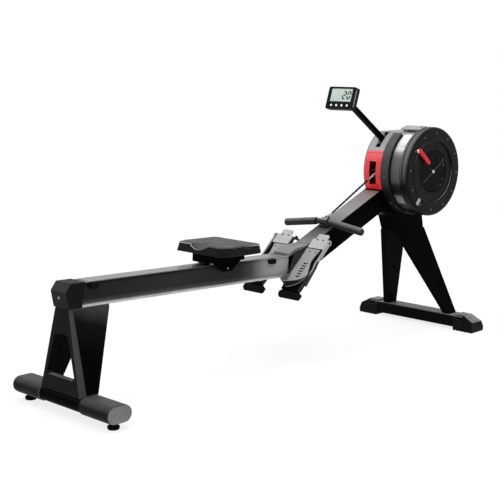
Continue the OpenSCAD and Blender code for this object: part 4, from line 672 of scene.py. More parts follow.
NODE_SLOT = {
    "rail": "monorail", "track": "rail_track", "cap_plastic": "rail_end_cap chain_guide",
    "black_rubber": "rail_stops heel_bumpers levelling_feet handle_cradle handle_grips",
    "black_steel": "rear_leg rear_foot_tube main_beam front_column front_legs front_foot_tube footrest_frame"
                   " seat_carriage monitor_arm handle_bar handle_bracket",
    "gloss_panel": "rear_leg_panels", "foot_cap": "rear_foot_ends front_foot_caps",
    "beam_grey": "beam_trim joint_cover",
    "light_shell": "housing_shell",
    "footplate": "toe_plates heel_plate_left heel_plate_right footrest_bars", "webbing": "foot_straps",
    "dark_cover": "housing_left_cover side_flange fan_cover damper_ring air_grille",
    "red": "red_fairing damper_lever",
    "mesh": "mesh_drum", "bright": "screws cover_clamps axle_bearings shackle drive_chain flywheel_axle",
    "steel": "flywheel chain_sprocket", "black_plastic": "return_trolley seat_pan monitor_case",
    "cord": "return_cord",
    "seat_foam": "seat_pad", "roller": "rollers_front rollers_rear rollers_lower", "lcd": "monitor_screen",
    "white_button": "monitor_button_1 monitor_button_2 monitor_button_3 monitor_button_4",
}
for slot, names in NODE_SLOT.items():
    for name in names.split():
        o = nodes[name]
        if not o.material_slots:
            o.data.materials.append(None)
        for held in o.material_slots:
            held.link = "OBJECT"
            held.material = M[slot].mat


def apply_modifiers(o):
    """Makes what the modifiers show the object's own mesh."""
    shown = o.evaluated_get(bpy.context.evaluated_depsgraph_get())
    me = bpy.data.meshes.new_from_object(shown)
    o.modifiers.clear()
    o.data = me


def soften(o, width=0.0012, segments=2):
    """Rounds the hard edges of a CAD node and evens its shading."""
    weld = o.modifiers.new("weld", "WELD")
    weld.merge_threshold = 2e-5
    flat = o.modifiers.new("flat", "DECIMATE")
    flat.decimate_type = "DISSOLVE"
    flat.angle_limit = math.radians(0.6)
    edge = o.modifiers.new("edge", "BEVEL")
    edge.limit_method = "ANGLE"
    edge.angle_limit = math.radians(32)
    edge.width = width
    edge.segments = segments
    edge.miter_outer = "MITER_ARC"
    even = o.modifiers.new("even", "WEIGHTED_NORMAL")
    even.keep_sharp = False


for name, o in nodes.items():
    soften(o, *((0.004, 4) if name == "monitor_case" else ()))

# Tones that one piece of a slot has and its neighbours haven't
OWN_TONE = {
    "rear_leg": "leg_steel", "front_foot_tube": "foot_steel", "front_foot_caps": "front_cap",
    "fan_cover": "cover", "seat_pan": "pan_plastic", "handle_bracket": "bracket",
    "housing_left_cover": "left_cover", "toe_plates": "toe_plate", "footrest_bars": "side_bar",
    "red_fairing": "red_panel", "side_flange": "flange_plate", "footrest_frame": "cheek_steel",
    "handle_cradle": "cradle_rubber", "air_grille": "grille", "cover_clamps": "clamp",
}
for name, shade in OWN_TONE.items():
    for held in nodes[name].material_slots:
        held.material = M[shade].mat


# ---- Pieces ----
def piece(name, bm, body, shade, slot=None, smooth=True, replaces=(), at=None):
    me = bpy.data.meshes.new(name)
    if at is not None:
        bm.transform(at)
    bmesh.ops.recalc_face_normals(bm, faces=bm.faces)
    bm.to_mesh(me)
    bm.free()
    o = bpy.data.objects.new(name, me)
    scene.collection.objects.link(o)
    me.materials.append(shade.mat)
    for p in me.polygons:
        p.use_smooth = smooth
    if body:
        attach(o, body)
    if replaces:
        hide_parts(*replaces)
    return o


def circle(r, n):
    return [(r * math.cos(2 * math.pi * i / n), r * math.sin(2 * math.pi * i / n)) for i in range(n)]


def mm(*points):
    """Points given in millimetres, in metres."""
    return [(a / 1000, b / 1000) for a, b in points]


def join(bm, a, b):
    """Quads between two closed rings of points."""
    for i in range(len(a)):
        j = (i + 1) % len(a)
        bm.faces.new((a[i], a[j], b[j], b[i]))


def lathe(bm, profile, m, n=32):
    """Turns (radius, height) points round the Z of m."""
    rings = []
    for r, h in profile:
        if r < 1e-6:
            rings.append([bm.verts.new(m @ Vector((0, 0, h)))])
        else:
            rings.append([bm.verts.new(m @ Vector((*q, h))) for q in circle(r, n)])
    for a, b in zip(rings, rings[1:]):
        if len(a) == len(b):
            join(bm, a, b)
            continue
        for i in range(n):
            j = (i + 1) % n
            bm.faces.new((a[0], b[i], b[j]) if len(a) == 1 else (a[i], a[j], b[0]))


# Seat pad: the CAD pad's own form, remeshed, puffed as cloth under pressure, and smoothed
def seat_pad(cap=0.004, pressure=4, frames=20):
    o = bpy.data.objects.new("seat_cushion", nodes["seat_pad"].data.copy())
    scene.collection.objects.link(o)
    o.data.materials.clear()
    o.data.materials.append(M["seat_foam"].mat)

    remesh = o.modifiers.new("remesh", "REMESH")
    remesh.mode = "VOXEL"
    remesh.voxel_size = 0.004
    smooth = o.modifiers.new("smooth", "SMOOTH")
    smooth.factor = 0.5
    smooth.iterations = 5
    apply_modifiers(o)
    rest = [v.co.copy() for v in o.data.vertices]
    cloth = o.modifiers.new("cloth", "CLOTH")
    cloth.settings.use_pressure = True
    cloth.settings.uniform_pressure_force = pressure
    cloth.settings.effector_weights.gravity = 0
    cloth.point_cache.frame_start = 1
    cloth.point_cache.frame_end = frames
    for f in range(1, frames + 1):
        scene.frame_set(f)
    apply_modifiers(o)
    scene.frame_set(1)
    lo, hi = local_box("seat_pad", RAIL)
    inv = RAIL.inverted()
    for v, r in zip(o.data.vertices, rest):
        h = (inv @ r).z
        room = min(1.0, max(0.0, (h - lo.z) / 0.012))       # held where it sits on its pan
        room *= min(1.0, max(0.15, (hi.z - h) / 0.006 + 0.15))
        move = v.co - r
        if move.length > cap * room:
            move = move.normalized() * cap * room
        v.co = r + move
    sub = o.modifiers.new("sub", "SUBSURF")
    sub.levels = sub.render_levels = 1
    apply_modifiers(o)
    for p in o.data.polygons:
        p.use_smooth = True
    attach(o, "seat")
    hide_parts("seat_pad")


seat_pad()


def tube(bm, points, r, closed=False, n=8):
    """A round bead along a line of points."""
    count = len(points)
    rings = []
    prev = None
    for i, p in enumerate(points):
        a = points[i - 1] if (closed or i) else points[i]
        b = points[(i + 1) % count] if (closed or i < count - 1) else points[i]
        d = (b - a).normalized()
        side = (prev if prev is not None else Vector((0, 1, 0)) if abs(d.y) < 0.9 else Vector((1, 0, 0)))
        side = (side - d * side.dot(d)).normalized()
        prev = side
        other = d.cross(side)
        rings.append([bm.verts.new(p + side * u + other * v) for u, v in circle(r, n)])
    pairs = list(zip(rings, rings[1:])) + ([(rings[-1], rings[0])] if closed else [])
    for a, b in pairs:
        join(bm, a, b)
    if not closed:
        bm.faces.new(list(reversed(rings[0])))
        bm.faces.new(rings[-1])


# Moulded bead along the top edge of the seat, where its skin turns down into the skirt; its pale colour is a
# painted highlight
def seat_rim():
    lo, hi = local_box("seat_pad", RAIL)
    mid = (lo + hi) / 2
    inv = RAIL.inverted()
    tree = surface("seat_pad", inv)

    def top(x, y):
        hit, normal = tree.ray_cast(Vector((x, y, hi.z + 0.05)), Vector((0, 0, -1)))[:2]
        return hit if hit is not None and normal.z > 0.8 else None

    pts = []
    for i in range(360):
        way = Vector((math.cos(math.radians(i)), math.sin(math.radians(i)), 0))
        r = 0.22
        while top(*(mid + way * r).to_2d()) is None:
            r -= 0.002
        inner, outer = r, r + 0.002
        for _ in range(10):
            r = (inner + outer) / 2
            if top(*(mid + way * r).to_2d()) is None:
                outer = r
            else:
                inner = r
        pts.append(RAIL @ top(*(mid + way * inner).to_2d()))
    even = walk(pts + [pts[0]], 0.004)
    for _ in range(2):
        even = [(even[i - 1] + even[i] * 2 + even[(i + 1) % len(even)]) / 4 for i in range(len(even))]
    bm = bmesh.new()
    tube(bm, [p - RAIL_UP * 0.0004 for p in even], 0.0019, closed=True)
    piece("seat_rim_bead", bm, "seat", M["seat_edge"], "seat_foam")


def walk(points, pitch):
    """Points spaced evenly along a broken line."""
    out = [points[0].copy()]
    left = pitch
    for a, b in zip(points, points[1:]):
        run = (b - a).length
        at = 0.0
        while run - at >= left:
            at += left
            out.append(a.lerp(b, at / run))
            left = pitch
        left -= run - at
    return out


seat_rim()


def islands(me):
    """The separate closed shapes of a mesh, as lists of points."""
    bm = bmesh.new()
    bm.from_mesh(me)
    bmesh.ops.remove_doubles(bm, verts=bm.verts, dist=1e-5)
    seen = set()
    out = []
    # Walked in the mesh's own order, so that each run gives the same one
    for first in bm.verts:
        if first in seen:
            continue
        seen.add(first)
        stack = [first]
        group = []
        while stack:
            v = stack.pop()
            group.append(v)
            for e in v.link_edges:
                w = e.other_vert(v)
                if w not in seen:
                    seen.add(w)
                    stack.append(w)
        faces = [f for v in group for f in v.link_faces]
        flat = max(faces, key=lambda f: f.calc_area())
        out.append(([v.co.copy() for v in group], flat.normal.copy()))
    bm.free()
    return out


# Screws: domed heads with a hexagon socket, each on the place of its CAD head
def screw_heads(name, shade, wanted, **more):
    bm = bmesh.new()
    for pts, n in islands(nodes["screws"].data):
        mid = sum(pts, Vector()) / len(pts)
        if (mid.x > HUB.x - 0.4) != wanted:
            continue
        out = n if n.dot(mid - (FOOT.translation if abs(mid.x - HUB.x) > 0.3 else HUB)) > 0 else -n
        m = aimed(out, mid)
        inv = m.inverted()
        loc = [inv @ p for p in pts]
        r = max(p.to_2d().length for p in loc)
        h = max(p.z for p in loc)
        low = min(p.z for p in loc)
        dome = [(0, low), (r, low), (r, h * 0.1), (r * 0.93, h * 0.62), (r * 0.74, h), (r * 0.5, h)]
        lathe(bm, dome, m, 24)
        # The socket's six sides run down to a floor inside the head
        rim = [m @ Vector((*q, h)) for q in circle(r * 0.5, 24)]
        hexa = []
        for i in range(24):
            a = 2 * math.pi * i / 24
            k = 0.42 * r * math.cos(math.pi / 6) / math.cos((a % (math.pi / 3)) - math.pi / 6)
            hexa.append((k * math.cos(a), k * math.sin(a)))
        top = [bm.verts.new(p) for p in rim]
        edge = [bm.verts.new(m @ Vector((*q, h - r * 0.03))) for q in hexa]
        foot = [bm.verts.new(m @ Vector((*q, low + (h - low) * 0.25))) for q in hexa]
        for i in range(24):
            j = (i + 1) % 24
            bm.faces.new((top[i], top[j], edge[j], edge[i]))
            bm.faces.new((edge[i], edge[j], foot[j], foot[i]))
        bm.faces.new(foot)
    bmesh.ops.remove_doubles(bm, verts=bm.verts, dist=1e-6)
    piece(name, bm, "frame", M[shade], "bright", **more)


screw_heads("fan_screws", "fan_screw", True, replaces=["screws"])
screw_heads("plate_screws", "screw", False)


# Heel plates: a sculpted tread with curved slots, and a wall that rises round the heel
def spline(points, steps=6):
    """A smooth line through points, between the second and the last but one."""
    out = []
    for i in range(1, len(points) - 2):
        p0, p1, p2, p3 = (Vector(q) for q in points[i - 1:i + 3])
        for k in range(steps):
            t = k / steps
            out.append(0.5 * (2 * p1 + (p2 - p0) * t + (2 * p0 - 5 * p1 + 4 * p2 - p3) * t * t
                              + (3 * p1 - p0 - 3 * p2 + p3) * t ** 3))
    return out + [Vector(points[-2])]


def prism(bm, ring, z0, z1, place):
    low = [bm.verts.new(place(p[0], p[1], z0)) for p in ring]
    top = [bm.verts.new(place(p[0], p[1], z1)) for p in ring]
    bm.faces.new(top)
    bm.faces.new(list(reversed(low)))
    join(bm, low, top)


TREAD_SCREWS = (0.028, 0.061)       # from the plate's inner edge
SCREW_IN = 0.017                    # from its upper end
WALL_T, WALL_H = 0.003, 0.036       # the wall round the heel


def tread_edge(long, wide):
    """The plate's sculpted edge, from its upper end down the outer side and round the heel."""
    return spline([(long + 0.03, wide - 0.02), (long - 0.002, wide - 0.019), (long - 0.038, wide - 0.025),
                   (long - 0.072, wide - 0.026), (long - 0.112, wide - 0.012), (long - 0.150, wide - 0.0006),
                   (long - 0.184, wide - 0.018), (0.013, wide - 0.041), (0.0015, 0.030), (0.006, 0.008),
                   (0.018, 0.0006), (0.05, 0.0)])


def cut_tread(plate, long, wide, z0, z1, place):
    """Curved slots, their ends rounded, and two screw holes, cut right through."""
    cut = bmesh.new()
    half, w = 0.011, 0.0036
    for i in range(6):
        s0, t0 = 0.059 + i * 0.0146, wide / 2 + 0.0015 - i * 0.0006
        bow = [(s0 + 0.0035 * (t / half) ** 2, t0 + t) for t in [half * k / 5 for k in range(-5, 6)]]
        edge = [(q[0] + w, q[1]) for q in bow] + [(bow[-1][0], bow[-1][1] + w)]
        edge += [(q[0] - w, q[1]) for q in reversed(bow)] + [(bow[0][0], bow[0][1] - w)]
        prism(cut, edge, z0, z1, place)
    for t in TREAD_SCREWS:
        prism(cut, [(long - SCREW_IN + u, t + v) for u, v in circle(0.0022, 16)], z0, z1, place)
    bmesh.ops.recalc_face_normals(cut, faces=cut.faces)
    me = bpy.data.meshes.new("cutter")
    cut.to_mesh(me)
    cut.free()
    cutter = bpy.data.objects.new("cutter", me)
    scene.collection.objects.link(cutter)
    hole = plate.modifiers.new("slots", "BOOLEAN")
    hole.object = cutter
    hole.operation = "DIFFERENCE"
    apply_modifiers(plate)
    bpy.data.objects.remove(cutter)
    soften(plate, 0.0007)


def heel_wall(path, z0, top, middle, place):
    """A wall along the path, low at both ends and highest round the heel."""
    run = [0.0]
    for a, b in zip(path, path[1:]):
        run.append(run[-1] + (b - a).length)
    wall = bmesh.new()
    sections = []
    for i, p in enumerate(path):
        f = run[i] / run[-1]
        h = WALL_H * max(0.03, min(1.0, f / 0.5)) * max(0.03, min(1.0, (1 - f) / 0.25)) ** 0.8
        d = (path[min(i + 1, len(path) - 1)] - path[max(i - 1, 0)]).normalized()
        n = Vector((-d[1], d[0]))
        if n.dot(middle - Vector((p[0], p[1]))) < 0:
            n = -n
        t = WALL_T
        prof = [(0.0002, z0), (-0.0002, top + h - 0.0012), (0.0008, top + h), (t - 0.0008, top + h),
                (t, top + h - 0.0012), (t + 0.0015, top + 0.002), (t + 0.004, top + 0.0001), (t + 0.004, z0)]
        sections.append([wall.verts.new(place(p[0] + n[0] * q, p[1] + n[1] * q, z)) for q, z in prof])
    for a, b in zip(sections, sections[1:]):
        join(wall, a, b)
    wall.faces.new(list(reversed(sections[0])))
    wall.faces.new(sections[-1])
    return wall


def heel_plate(side, name, body, node):
    lo, hi = local_box(node, FOOT)
    inner = lo.y if side > 0 else hi.y
    wide = hi.y - lo.y
    long = hi.x - lo.x
    top = hi.z - 0.033      # the tread lies this far below the CAD cup's rim

    def place(s, t, z):
        return FOOT @ Vector((lo.x + s, inner + side * t, z))

    outer = tread_edge(long, wide)
    bm = bmesh.new()
    prism(bm, [(p[0], p[1]) for p in outer] + [(long * 0.5, 0.0), (long - 0.001, 0.0)], lo.z, top, place)
    plate = piece(name, bm, body, M["footplate"], "footplate", smooth=False, replaces=[node])
    cut_tread(plate, long, wide, lo.z - 0.002, top + 0.002, place)
    path = [p for p in outer if p[0] < long - 0.14] + [Vector((0.03 + 0.01 * k, 0.0008)) for k in range(5)]
    wall = heel_wall(path, lo.z + 0.0008, top, Vector((long * 0.5, wide * 0.5)), place)
    piece(name + "_wall", wall, body, M["heel_wall"], "footplate")
    heads = bmesh.new()
    for t in TREAD_SCREWS:
        m = FOOT.copy()
        m.translation = place(long - SCREW_IN, t, top)
        lathe(heads, mm((0, -1), (3.4, -1), (3.4, 0.4), (2.6, 1.3), (1.4, 1.5), (1.3, 0.6), (0, 0.6)), m, 20)
    piece(name + "_screws", heads, body, M["screw"], "bright")


heel_plate(1, "heel_tread_left", "left_heel", "heel_plate_left")
heel_plate(-1, "heel_tread_right", "right_heel", "heel_plate_right")


# Bright parts: the grille's cap, its two pale ribs, which are painted highlights, the damper lever's tip, and
# the seat's cap bolts
def rib_and_cap():
    lo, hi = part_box("air_grille")
    front = lo.y
    m = sideways(-1, Vector((HUB.x, front, HUB.z)))
    bm = bmesh.new()
    lathe(bm, mm((8.5, -3), (8.5, 0.6), (7.2, 2.2), (4.4, 3), (3, 1.8), (0, 1.6)), m, 28)
    piece("grille_cap", bm, "frame", M["bright"], "bright")
    bm = bmesh.new()
    reach = (hi.x - lo.x) / 2 - 0.004
    # Pale ribs over the two arms that catch the light, as painted highlights
    for a in (148, 328):
        w = Vector((-math.cos(math.radians(a)), 0, math.sin(math.radians(a))))
        start = HUB + Vector((0, front - HUB.y - 0.0002, 0))
        tube(bm, [start + w * r for r in (0.008, reach * 0.5, reach)], 0.0009)
    piece("grille_ribs", bm, "frame", M["rib"], "bright")


def lever_tip():
    pts = [v.co for v in nodes["damper_lever"].data.vertices]
    axle = Vector((HUB.x, 0, HUB.z))
    far = max(pts, key=lambda p: (Vector((p.x, 0, p.z)) - axle).length)
    near = min(pts, key=lambda p: (Vector((p.x, 0, p.z)) - axle).length)
    d = Vector((far.x - near.x, 0, far.z - near.z)).normalized()
    lo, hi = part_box("damper_lever")
    m = aimed(d, Vector((far.x, (lo.y + hi.y) / 2 + 0.002, far.z)) - d * 0.009)
    bm = bmesh.new()
    lathe(bm, mm((8.8, -2), (9.2, 4), (8.6, 8.5), (6.2, 11.8), (3, 13), (0, 13.3)), m, 24)
    piece("lever_tip", bm, "damper", M["bright"], "bright")


def cap_bolts():
    lo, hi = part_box("seat_carriage")
    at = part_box("rollers_lower")
    mid = Vector(((at[0][0] + at[1][0]) / 2, 0, (at[0][2] + at[1][2]) / 2))
    bm = bmesh.new()
    for side in (-1, 1):
        m = sideways(side, Vector((mid.x, lo.y if side < 0 else hi.y, mid.z)))
        lathe(bm, mm((4.6, -2), (4.6, 0.2), (4, 1.2), (2.6, 1.4), (2.2, 0.4), (0, 0.3)), m, 24)
    piece("cap_bolts", bm, "seat", M["fan_screw"], "bright")


def cap_screw():
    lo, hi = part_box("rail_end_cap")
    way = -RAIL_AHEAD
    start = Vector((lo.x - 0.1, 0, lo.z + (hi.z - lo.z) * 0.42))
    hit, normal = surface("rail_end_cap").ray_cast(start, Vector((1, 0, 0)))[:2]
    m = aimed(normal if normal.dot(way) > 0 else -normal, hit)
    bm = bmesh.new()
    lathe(bm, mm((6.2, -1), (6.2, 0.8), (5.2, 2.2), (3.2, 2.6), (2.8, 1), (0, 0.8)), m, 24)
    piece("cap_screw", bm, "frame", M["fan_screw"], "bright")


# Dark bolts through the ears of the footrests' side bars, and part way down each bar
def bar_bolts(ear_r=0.013):
    bm = bmesh.new()
    lo, hi = local_box("footrest_bars", FOOT)
    for side in (-1, 1):
        low = [(lo.x + (hi.x - lo.x) * part, lo.z + 0.0075, 0.0036) for part in (0.65, 0.28)]
        for s, z, r in ((hi.x - ear_r, hi.z - ear_r, 0.0052), *low):
            m = FOOT @ sideways(side, Vector((s, hi.y if side > 0 else lo.y, z)))
            head = [(r, -0.003), (r, 0.0006), (r * 0.86, 0.0016), (r * 0.6, 0.002), (r * 0.5, 0.001),
                    (0, 0.0008)]
            lathe(bm, head, m, 20)
    piece("bar_bolts", bm, "frame", M["screw"], "bright")


# Left cover: rolled ribs, a ring of screws and a cap over the axle
def left_cover():
    lo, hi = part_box("housing_left_cover")
    r = (hi.x - lo.x) / 2
    m = sideways(1, Vector((HUB.x, hi.y, HUB.z)))
    up = hi.z - HUB.z
    bm = bmesh.new()
    for at, w, h in ((0.84, 0.005, 0.0022), (0.5, 0.007, 0.003), (0.46, 0.004, 0.0016)):
        if at * r + w < up:
            bulge = ((-1, -0.0006), (-0.7, h * 0.55), (-0.25, h * 0.95), (0, h), (0.25, h * 0.95),
                     (0.7, h * 0.55), (1, -0.0006))
            lathe(bm, [(at * r + w * k, rise) for k, rise in bulge], m, 160)
    lathe(bm, mm((32, -0.6), (31, 4), (27, 7.2), (18, 8.8), (6, 9.4), (0, 9.4)), m, 64)
    piece("left_cover_ribs", bm, "frame", M["left_cover"], "dark_cover")
    bm = bmesh.new()
    for i in range(12):
        a = math.radians(30 * i + 15)
        if math.sin(a) * r * 0.93 > up - 0.008:
            continue
        n = sideways(1, Vector((HUB.x + r * 0.93 * math.cos(a), hi.y, HUB.z + r * 0.93 * math.sin(a))))
        lathe(bm, mm((3.4, -1), (3.4, 0.4), (3, 1.4), (2, 1.8), (1.6, 0.8), (0, 0.7)), n, 20)
    piece("left_cover_screws", bm, "frame", M["fan_screw"], "bright")


rib_and_cap()
lever_tip()
cap_bolts()
cap_screw()
bar_bolts()
left_cover()


# Grips: soft sleeves with a rolled end and fine rings
def grips():
    bm = bmesh.new()
    for side in (-1, 1):
        pts = [v.co for v in nodes["handle_grips"].data.vertices if v.co.y * side > 0]
        inner = [p for p in pts if abs(p.y) < min(abs(q.y) for q in pts) + 0.006]
        outer = [p for p in pts if abs(p.y) > max(abs(q.y) for q in pts) - 0.006]
        a = sum(inner, Vector()) / len(inner)
        b = sum(outer, Vector()) / len(outer)
        m = aimed((b - a).normalized(), a)
        heights = [(m.inverted() @ p).z for p in pts]
        low, top = min(heights), max(heights)
        r = max((m.inverted() @ p).to_2d().length for p in pts)
        core = 0.0111
        prof = [(core, low), (r - 0.0025, low), (r - 0.0006, low + 0.001), (r, low + 0.003)]
        h = low + 0.007
        while h < top - 0.014:
            prof += [(r, h), (r - 0.0007, h + 0.0009), (r - 0.0007, h + 0.0019), (r, h + 0.0028)]
            h += 0.0062
        prof += [(r, top - 0.008), (r - 0.0005, top - 0.004), (r - 0.003, top - 0.0012), (r - 0.0075, top),
                 (0, top)]
        lathe(bm, prof, m, 40)
    piece("hand_grips", bm, "handle", M["grip_foam"], "black_rubber", replaces=["handle_grips"])


grips()


# Chain: riveted links along the CAD chain's route
def link_plates(bm, a, b, wide):
    """One link from a to b: two waisted plates and a pin."""
    x = b - a
    long = x.length
    m = axes(a, x)
    gap = 0.0024 if wide else 0.0012        # from the middle to the plate
    t = 0.001                               # the plate's thickness
    r = 0.004                               # its rounded ends
    for side in (-1, 1):
        y0 = side * (gap + t / 2)
        ring = []
        for cx, a0 in ((long, -90), (0, 90)):
            for i in range(7):
                w = math.radians(a0 + i * 30)
                ring.append((cx + r * math.cos(w), r * math.sin(w)))
            ring.append((long / 2, (1 if cx else -1) * r * 0.62))
        faces = []
        for dy in (-t / 2, t / 2):
            faces.append([bm.verts.new(m @ Vector((p[0], y0 + dy, p[1]))) for p in ring])
        bm.faces.new(faces[0])
        bm.faces.new(list(reversed(faces[1])))
        join(bm, *faces)
    pin = m @ Matrix.Rotation(math.radians(90), 4, "X")
    lathe(bm, mm((0, -4), (1.1, -4), (1.3, -3.6), (1.3, 3.6), (1.1, 4), (0, 4)), pin, 8)


def chain():
    pitch = 0.0127          # from pin to pin
    past_pin = 0.0243       # from the shackle's pin to the chain's end
    sprocket_r = 0.0328     # to the middle of the links
    in_beam = 0.24          # the run that goes down into the beam
    start = PIN_AT + (PIN_AT - HANDLE_AT).normalized() * past_pin
    port = HUB + Vector((-0.185, 0, -0.005))
    # Over the lower guide, straight to the sprocket's top, round its front, and down into the beam
    top = HUB + Vector((math.sin(math.radians(3)), 0, 1)).normalized() * sprocket_r
    turns = [math.radians(w) for w in range(88, -70, -12)]
    wrap = [HUB + Vector((sprocket_r * math.cos(w), 0, sprocket_r * math.sin(w))) for w in turns]
    down = wrap[-1] - Vector(joints["trolley_run"]["axis"]) * in_beam
    pts = walk([start, port, top, *wrap, down], pitch)
    bm = bmesh.new()
    for i, (a, b) in enumerate(zip(pts, pts[1:])):
        link_plates(bm, a, b, i % 2)
    o = piece("chain_links", bm, None, M["chain"], "bright", smooth=False, replaces=["drive_chain"])
    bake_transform(o)


chain()


# Drum: a band of pressed holes between two plain hems
def drum():
    lo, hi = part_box("mesh_drum")
    r = (hi.z - lo.z) / 2
    n = 180             # cells round the drum
    hem = 0.004
    y0, y1 = lo.y + hem, hi.y - hem
    rows = 9
    hole = 0.21         # a hole's radius, as a share of its cell
    border = ((0, 0), (0.5, 0), (1, 0), (1, 0.5), (1, 1), (0.5, 1), (0, 1), (0, 0.5))
    corners = [math.radians(-135 + 45 * q) for q in range(8)]
    bm = bmesh.new()
    cache = {}

    def vert(a, y):
        key = (round(a, 5), round(y, 6))
        if key not in cache:
            cache[key] = bm.verts.new((HUB.x + r * math.cos(a), y, HUB.z + r * math.sin(a)))
        return cache[key]

    da = 2 * math.pi / n
    dy = (y1 - y0) / rows
    for i in range(n):
        for j in range(rows):
            a, y = i * da, y0 + j * dy
            c = [(a + da * u, y + dy * v) for u, v in border]
            h = [(a + da * (0.5 + hole * math.cos(w)), y + dy * (0.5 + hole * math.sin(w))) for w in corners]
            c = [((p[0] % (2 * math.pi)) if abs(p[0] - 2 * math.pi) > 1e-6 else 0.0, p[1]) for p in c]
            for q in range(8):
                bm.faces.new((vert(*c[q]), vert(*c[(q + 1) % 8]), vert(*h[(q + 1) % 8]), vert(*h[q])))
        for ya, yb in ((lo.y, y0), (y1, hi.y)):
            p = [(i * da) % (2 * math.pi), (i + 0.5) * da, ((i + 1) % n) * da]
            bm.faces.new((vert(p[0], ya), vert(p[1], ya), vert(p[1], yb), vert(p[0], yb)))
            bm.faces.new((vert(p[1], ya), vert(p[2], ya), vert(p[2], yb), vert(p[1], yb)))
    o = piece("drum_mesh", bm, "frame", M["mesh"], "mesh", replaces=["mesh_drum"])
    t = o.modifiers.new("sheet", "SOLIDIFY")
    t.thickness = 0.0012
    t.offset = -1


drum()


# Display: generic figures made of seven bars
def display():
    lo, hi = local_box("monitor_screen", FACE)
    z = hi.z + 0.00012      # just clear of the glass
    slant = 0.16
    bars = {"a": (0, 1, 1, 1), "b": (1, 1, 1, 0), "c": (1, 0, 1, -1), "d": (0, -1, 1, -1), "e": (0, 0, 0, -1),
            "f": (0, 1, 0, 0), "g": (0, 0, 1, 0)}
    digit = {0: "abcdef", 2: "abdeg"}
    bm = bmesh.new()

    def figure(n, y, x, h, w, t):
        for s in digit[n]:
            x0, y0, x1, y1 = bars[s]
            a = Vector((y - x0 * w, x + y0 * h))
            b = Vector((y - x1 * w, x + y1 * h))
            d = (b - a).normalized()
            a, b = a + d * t * 0.2, b - d * t * 0.2
            p = Vector((-d.y, d.x)) * t / 2
            ring = [a, a + d * t / 2 + p, b - d * t / 2 + p, b, b - d * t / 2 - p, a + d * t / 2 - p]
            prism(bm, ring, z, z + 0.0003, lambda u, v, up: FACE @ Vector((v, u - (v - x) * slant, up)))

    mid = (lo.x + hi.x) / 2
    left_in, step = 0.050, 0.026                # of the first figure, and from one to the next
    tall, broad, thick = 0.0165, 0.0155, 0.0066
    for k, n in enumerate((2, 0)):
        figure(n, lo.y + left_in - k * step, mid, tall, broad, thick)
    ink = finish("display_ink", (6, 12, 10), (0.4, 0.5), mottle=0.1, grain=900, spec=0.2)
    piece("display_figures", bm, "monitor", ink, smooth=False)


display()


# Pale bead down the right front edge of the display's case
def case_bead():
    lo, hi = local_box("monitor_case", FACE)
    top = local_box("monitor_screen", FACE)[1].z
    bm = bmesh.new()
    stretch = (lo.x + 0.012, lo.x + 0.02, hi.x - 0.02, hi.x - 0.012)
    tube(bm, [FACE @ Vector((x, lo.y + 0.0012, top - 0.0052)) for x in stretch], 0.0024, n=12)
    piece("case_bead", bm, "monitor", M["bead"], "black_plastic")


case_bead()

# ---- Camera, light and floor ----
cam = bpy.data.objects.new("camera", bpy.data.cameras.new("camera"))
scene.collection.objects.link(cam)
cam.data.lens = 82.97
cam.location = (-3.5516, -3.4307, 1.3343)
cam.rotation_euler = (math.radians(90 - 9.661), 0, math.radians(45.04 - 90))
scene.camera = cam

scene.view_settings.view_transform = "Standard"


def seen_by(tree, *rays):
    """1 for rays of these kinds and 0 for the rest."""
    path = tree.nodes.new("ShaderNodeLightPath")
    seen = path.outputs[rays[0]]
    for ray in rays[1:]:
        either = tree.nodes.new("ShaderNodeMath")
        either.operation = "MAXIMUM"
        tree.links.new(seen, either.inputs[0])
        tree.links.new(path.outputs[ray], either.inputs[1])
        seen = either.outputs[0]
    return seen


# White to the eye, at half strength as light
world = bpy.data.worlds.new("studio")
scene.world = world
world.use_nodes = True
nt = world.node_tree
back = nt.nodes["Background"]
level = nt.nodes.new("ShaderNodeMapRange")
level.inputs["To Min"].default_value = 0.5
level.inputs["To Max"].default_value = 1.0
nt.links.new(seen_by(nt, "Is Camera Ray", "Is Glossy Ray", "Is Transmission Ray"), level.inputs["Value"])
nt.links.new(level.outputs[0], back.inputs["Strength"])
back.inputs["Color"].default_value = (1, 1, 1, 1)


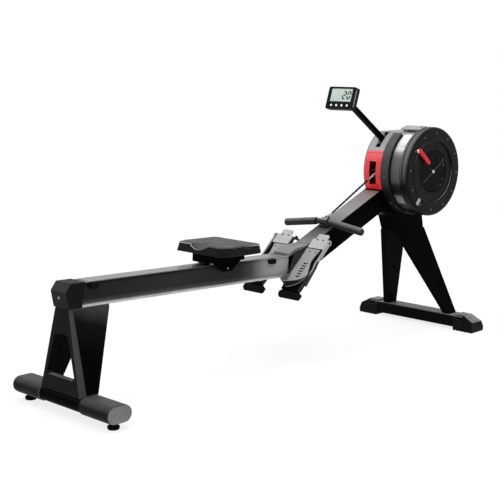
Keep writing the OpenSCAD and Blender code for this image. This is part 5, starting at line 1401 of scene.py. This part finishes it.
def lamp(name, at, aim, size, power):
    data = bpy.data.lights.new(name, "AREA")
    data.shape = "RECTANGLE"
    data.size, data.size_y = size
    data.energy = power
    o = bpy.data.objects.new(name, data)
    o.location = at
    o.rotation_euler = (Vector(aim) - Vector(at)).to_track_quat("-Z", "Y").to_euler()
    scene.collection.objects.link(o)


sun = bpy.data.lights.new("sky_soft", "SUN")
sun.energy = 2.0
sun.angle = math.radians(70)
sun_at = bpy.data.objects.new("sky_soft", sun)
sun_at.rotation_euler = (math.radians(12), math.radians(-10), 0)
scene.collection.objects.link(sun_at)
lamp("strip_over", (-0.4, 0.5, 2.6), (0.3, 0, 0.6), (2.6, 0.25), 14)
lamp("strip_rear", (-3.0, 0.9, 1.9), (-0.6, 0, 0.5), (0.25, 1.6), 8)
lamp("strip_near", (0.6, -2.4, 2.2), (0.8, 0, 0.7), (0.25, 1.6), 7)

floor_mesh = bpy.data.meshes.new("floor")
floor_mesh.from_pydata([(-40, -40, 0), (40, -40, 0), (40, 40, 0), (-40, 40, 0)], [], [(0, 1, 2, 3)])
floor = bpy.data.objects.new("floor", floor_mesh)
scene.collection.objects.link(floor)

# Mostly a plain glow, so that it stays pale, and part matt, so that it takes soft shadows
paper = bpy.data.materials.new("floor")
paper.use_nodes = True
nt = paper.node_tree
nt.nodes.clear()
matt = nt.nodes.new("ShaderNodeBsdfDiffuse")
matt.inputs["Color"].default_value = (0.96, 0.96, 0.96, 1)
glow = nt.nodes.new("ShaderNodeEmission")
glow.inputs["Strength"].default_value = 1.0
share = nt.nodes.new("ShaderNodeMath")
share.operation = "MULTIPLY"
share.inputs[1].default_value = 0.8
both = nt.nodes.new("ShaderNodeMixShader")
out = nt.nodes.new("ShaderNodeOutputMaterial")
for source, socket in ((seen_by(nt, "Is Camera Ray", "Is Glossy Ray"), share.inputs[0]),
                       (share.outputs[0], both.inputs[0]), (matt.outputs[0], both.inputs[1]),
                       (glow.outputs[0], both.inputs[2]), (both.outputs[0], out.inputs[0])):
    nt.links.new(source, socket)
floor_mesh.materials.append(paper)
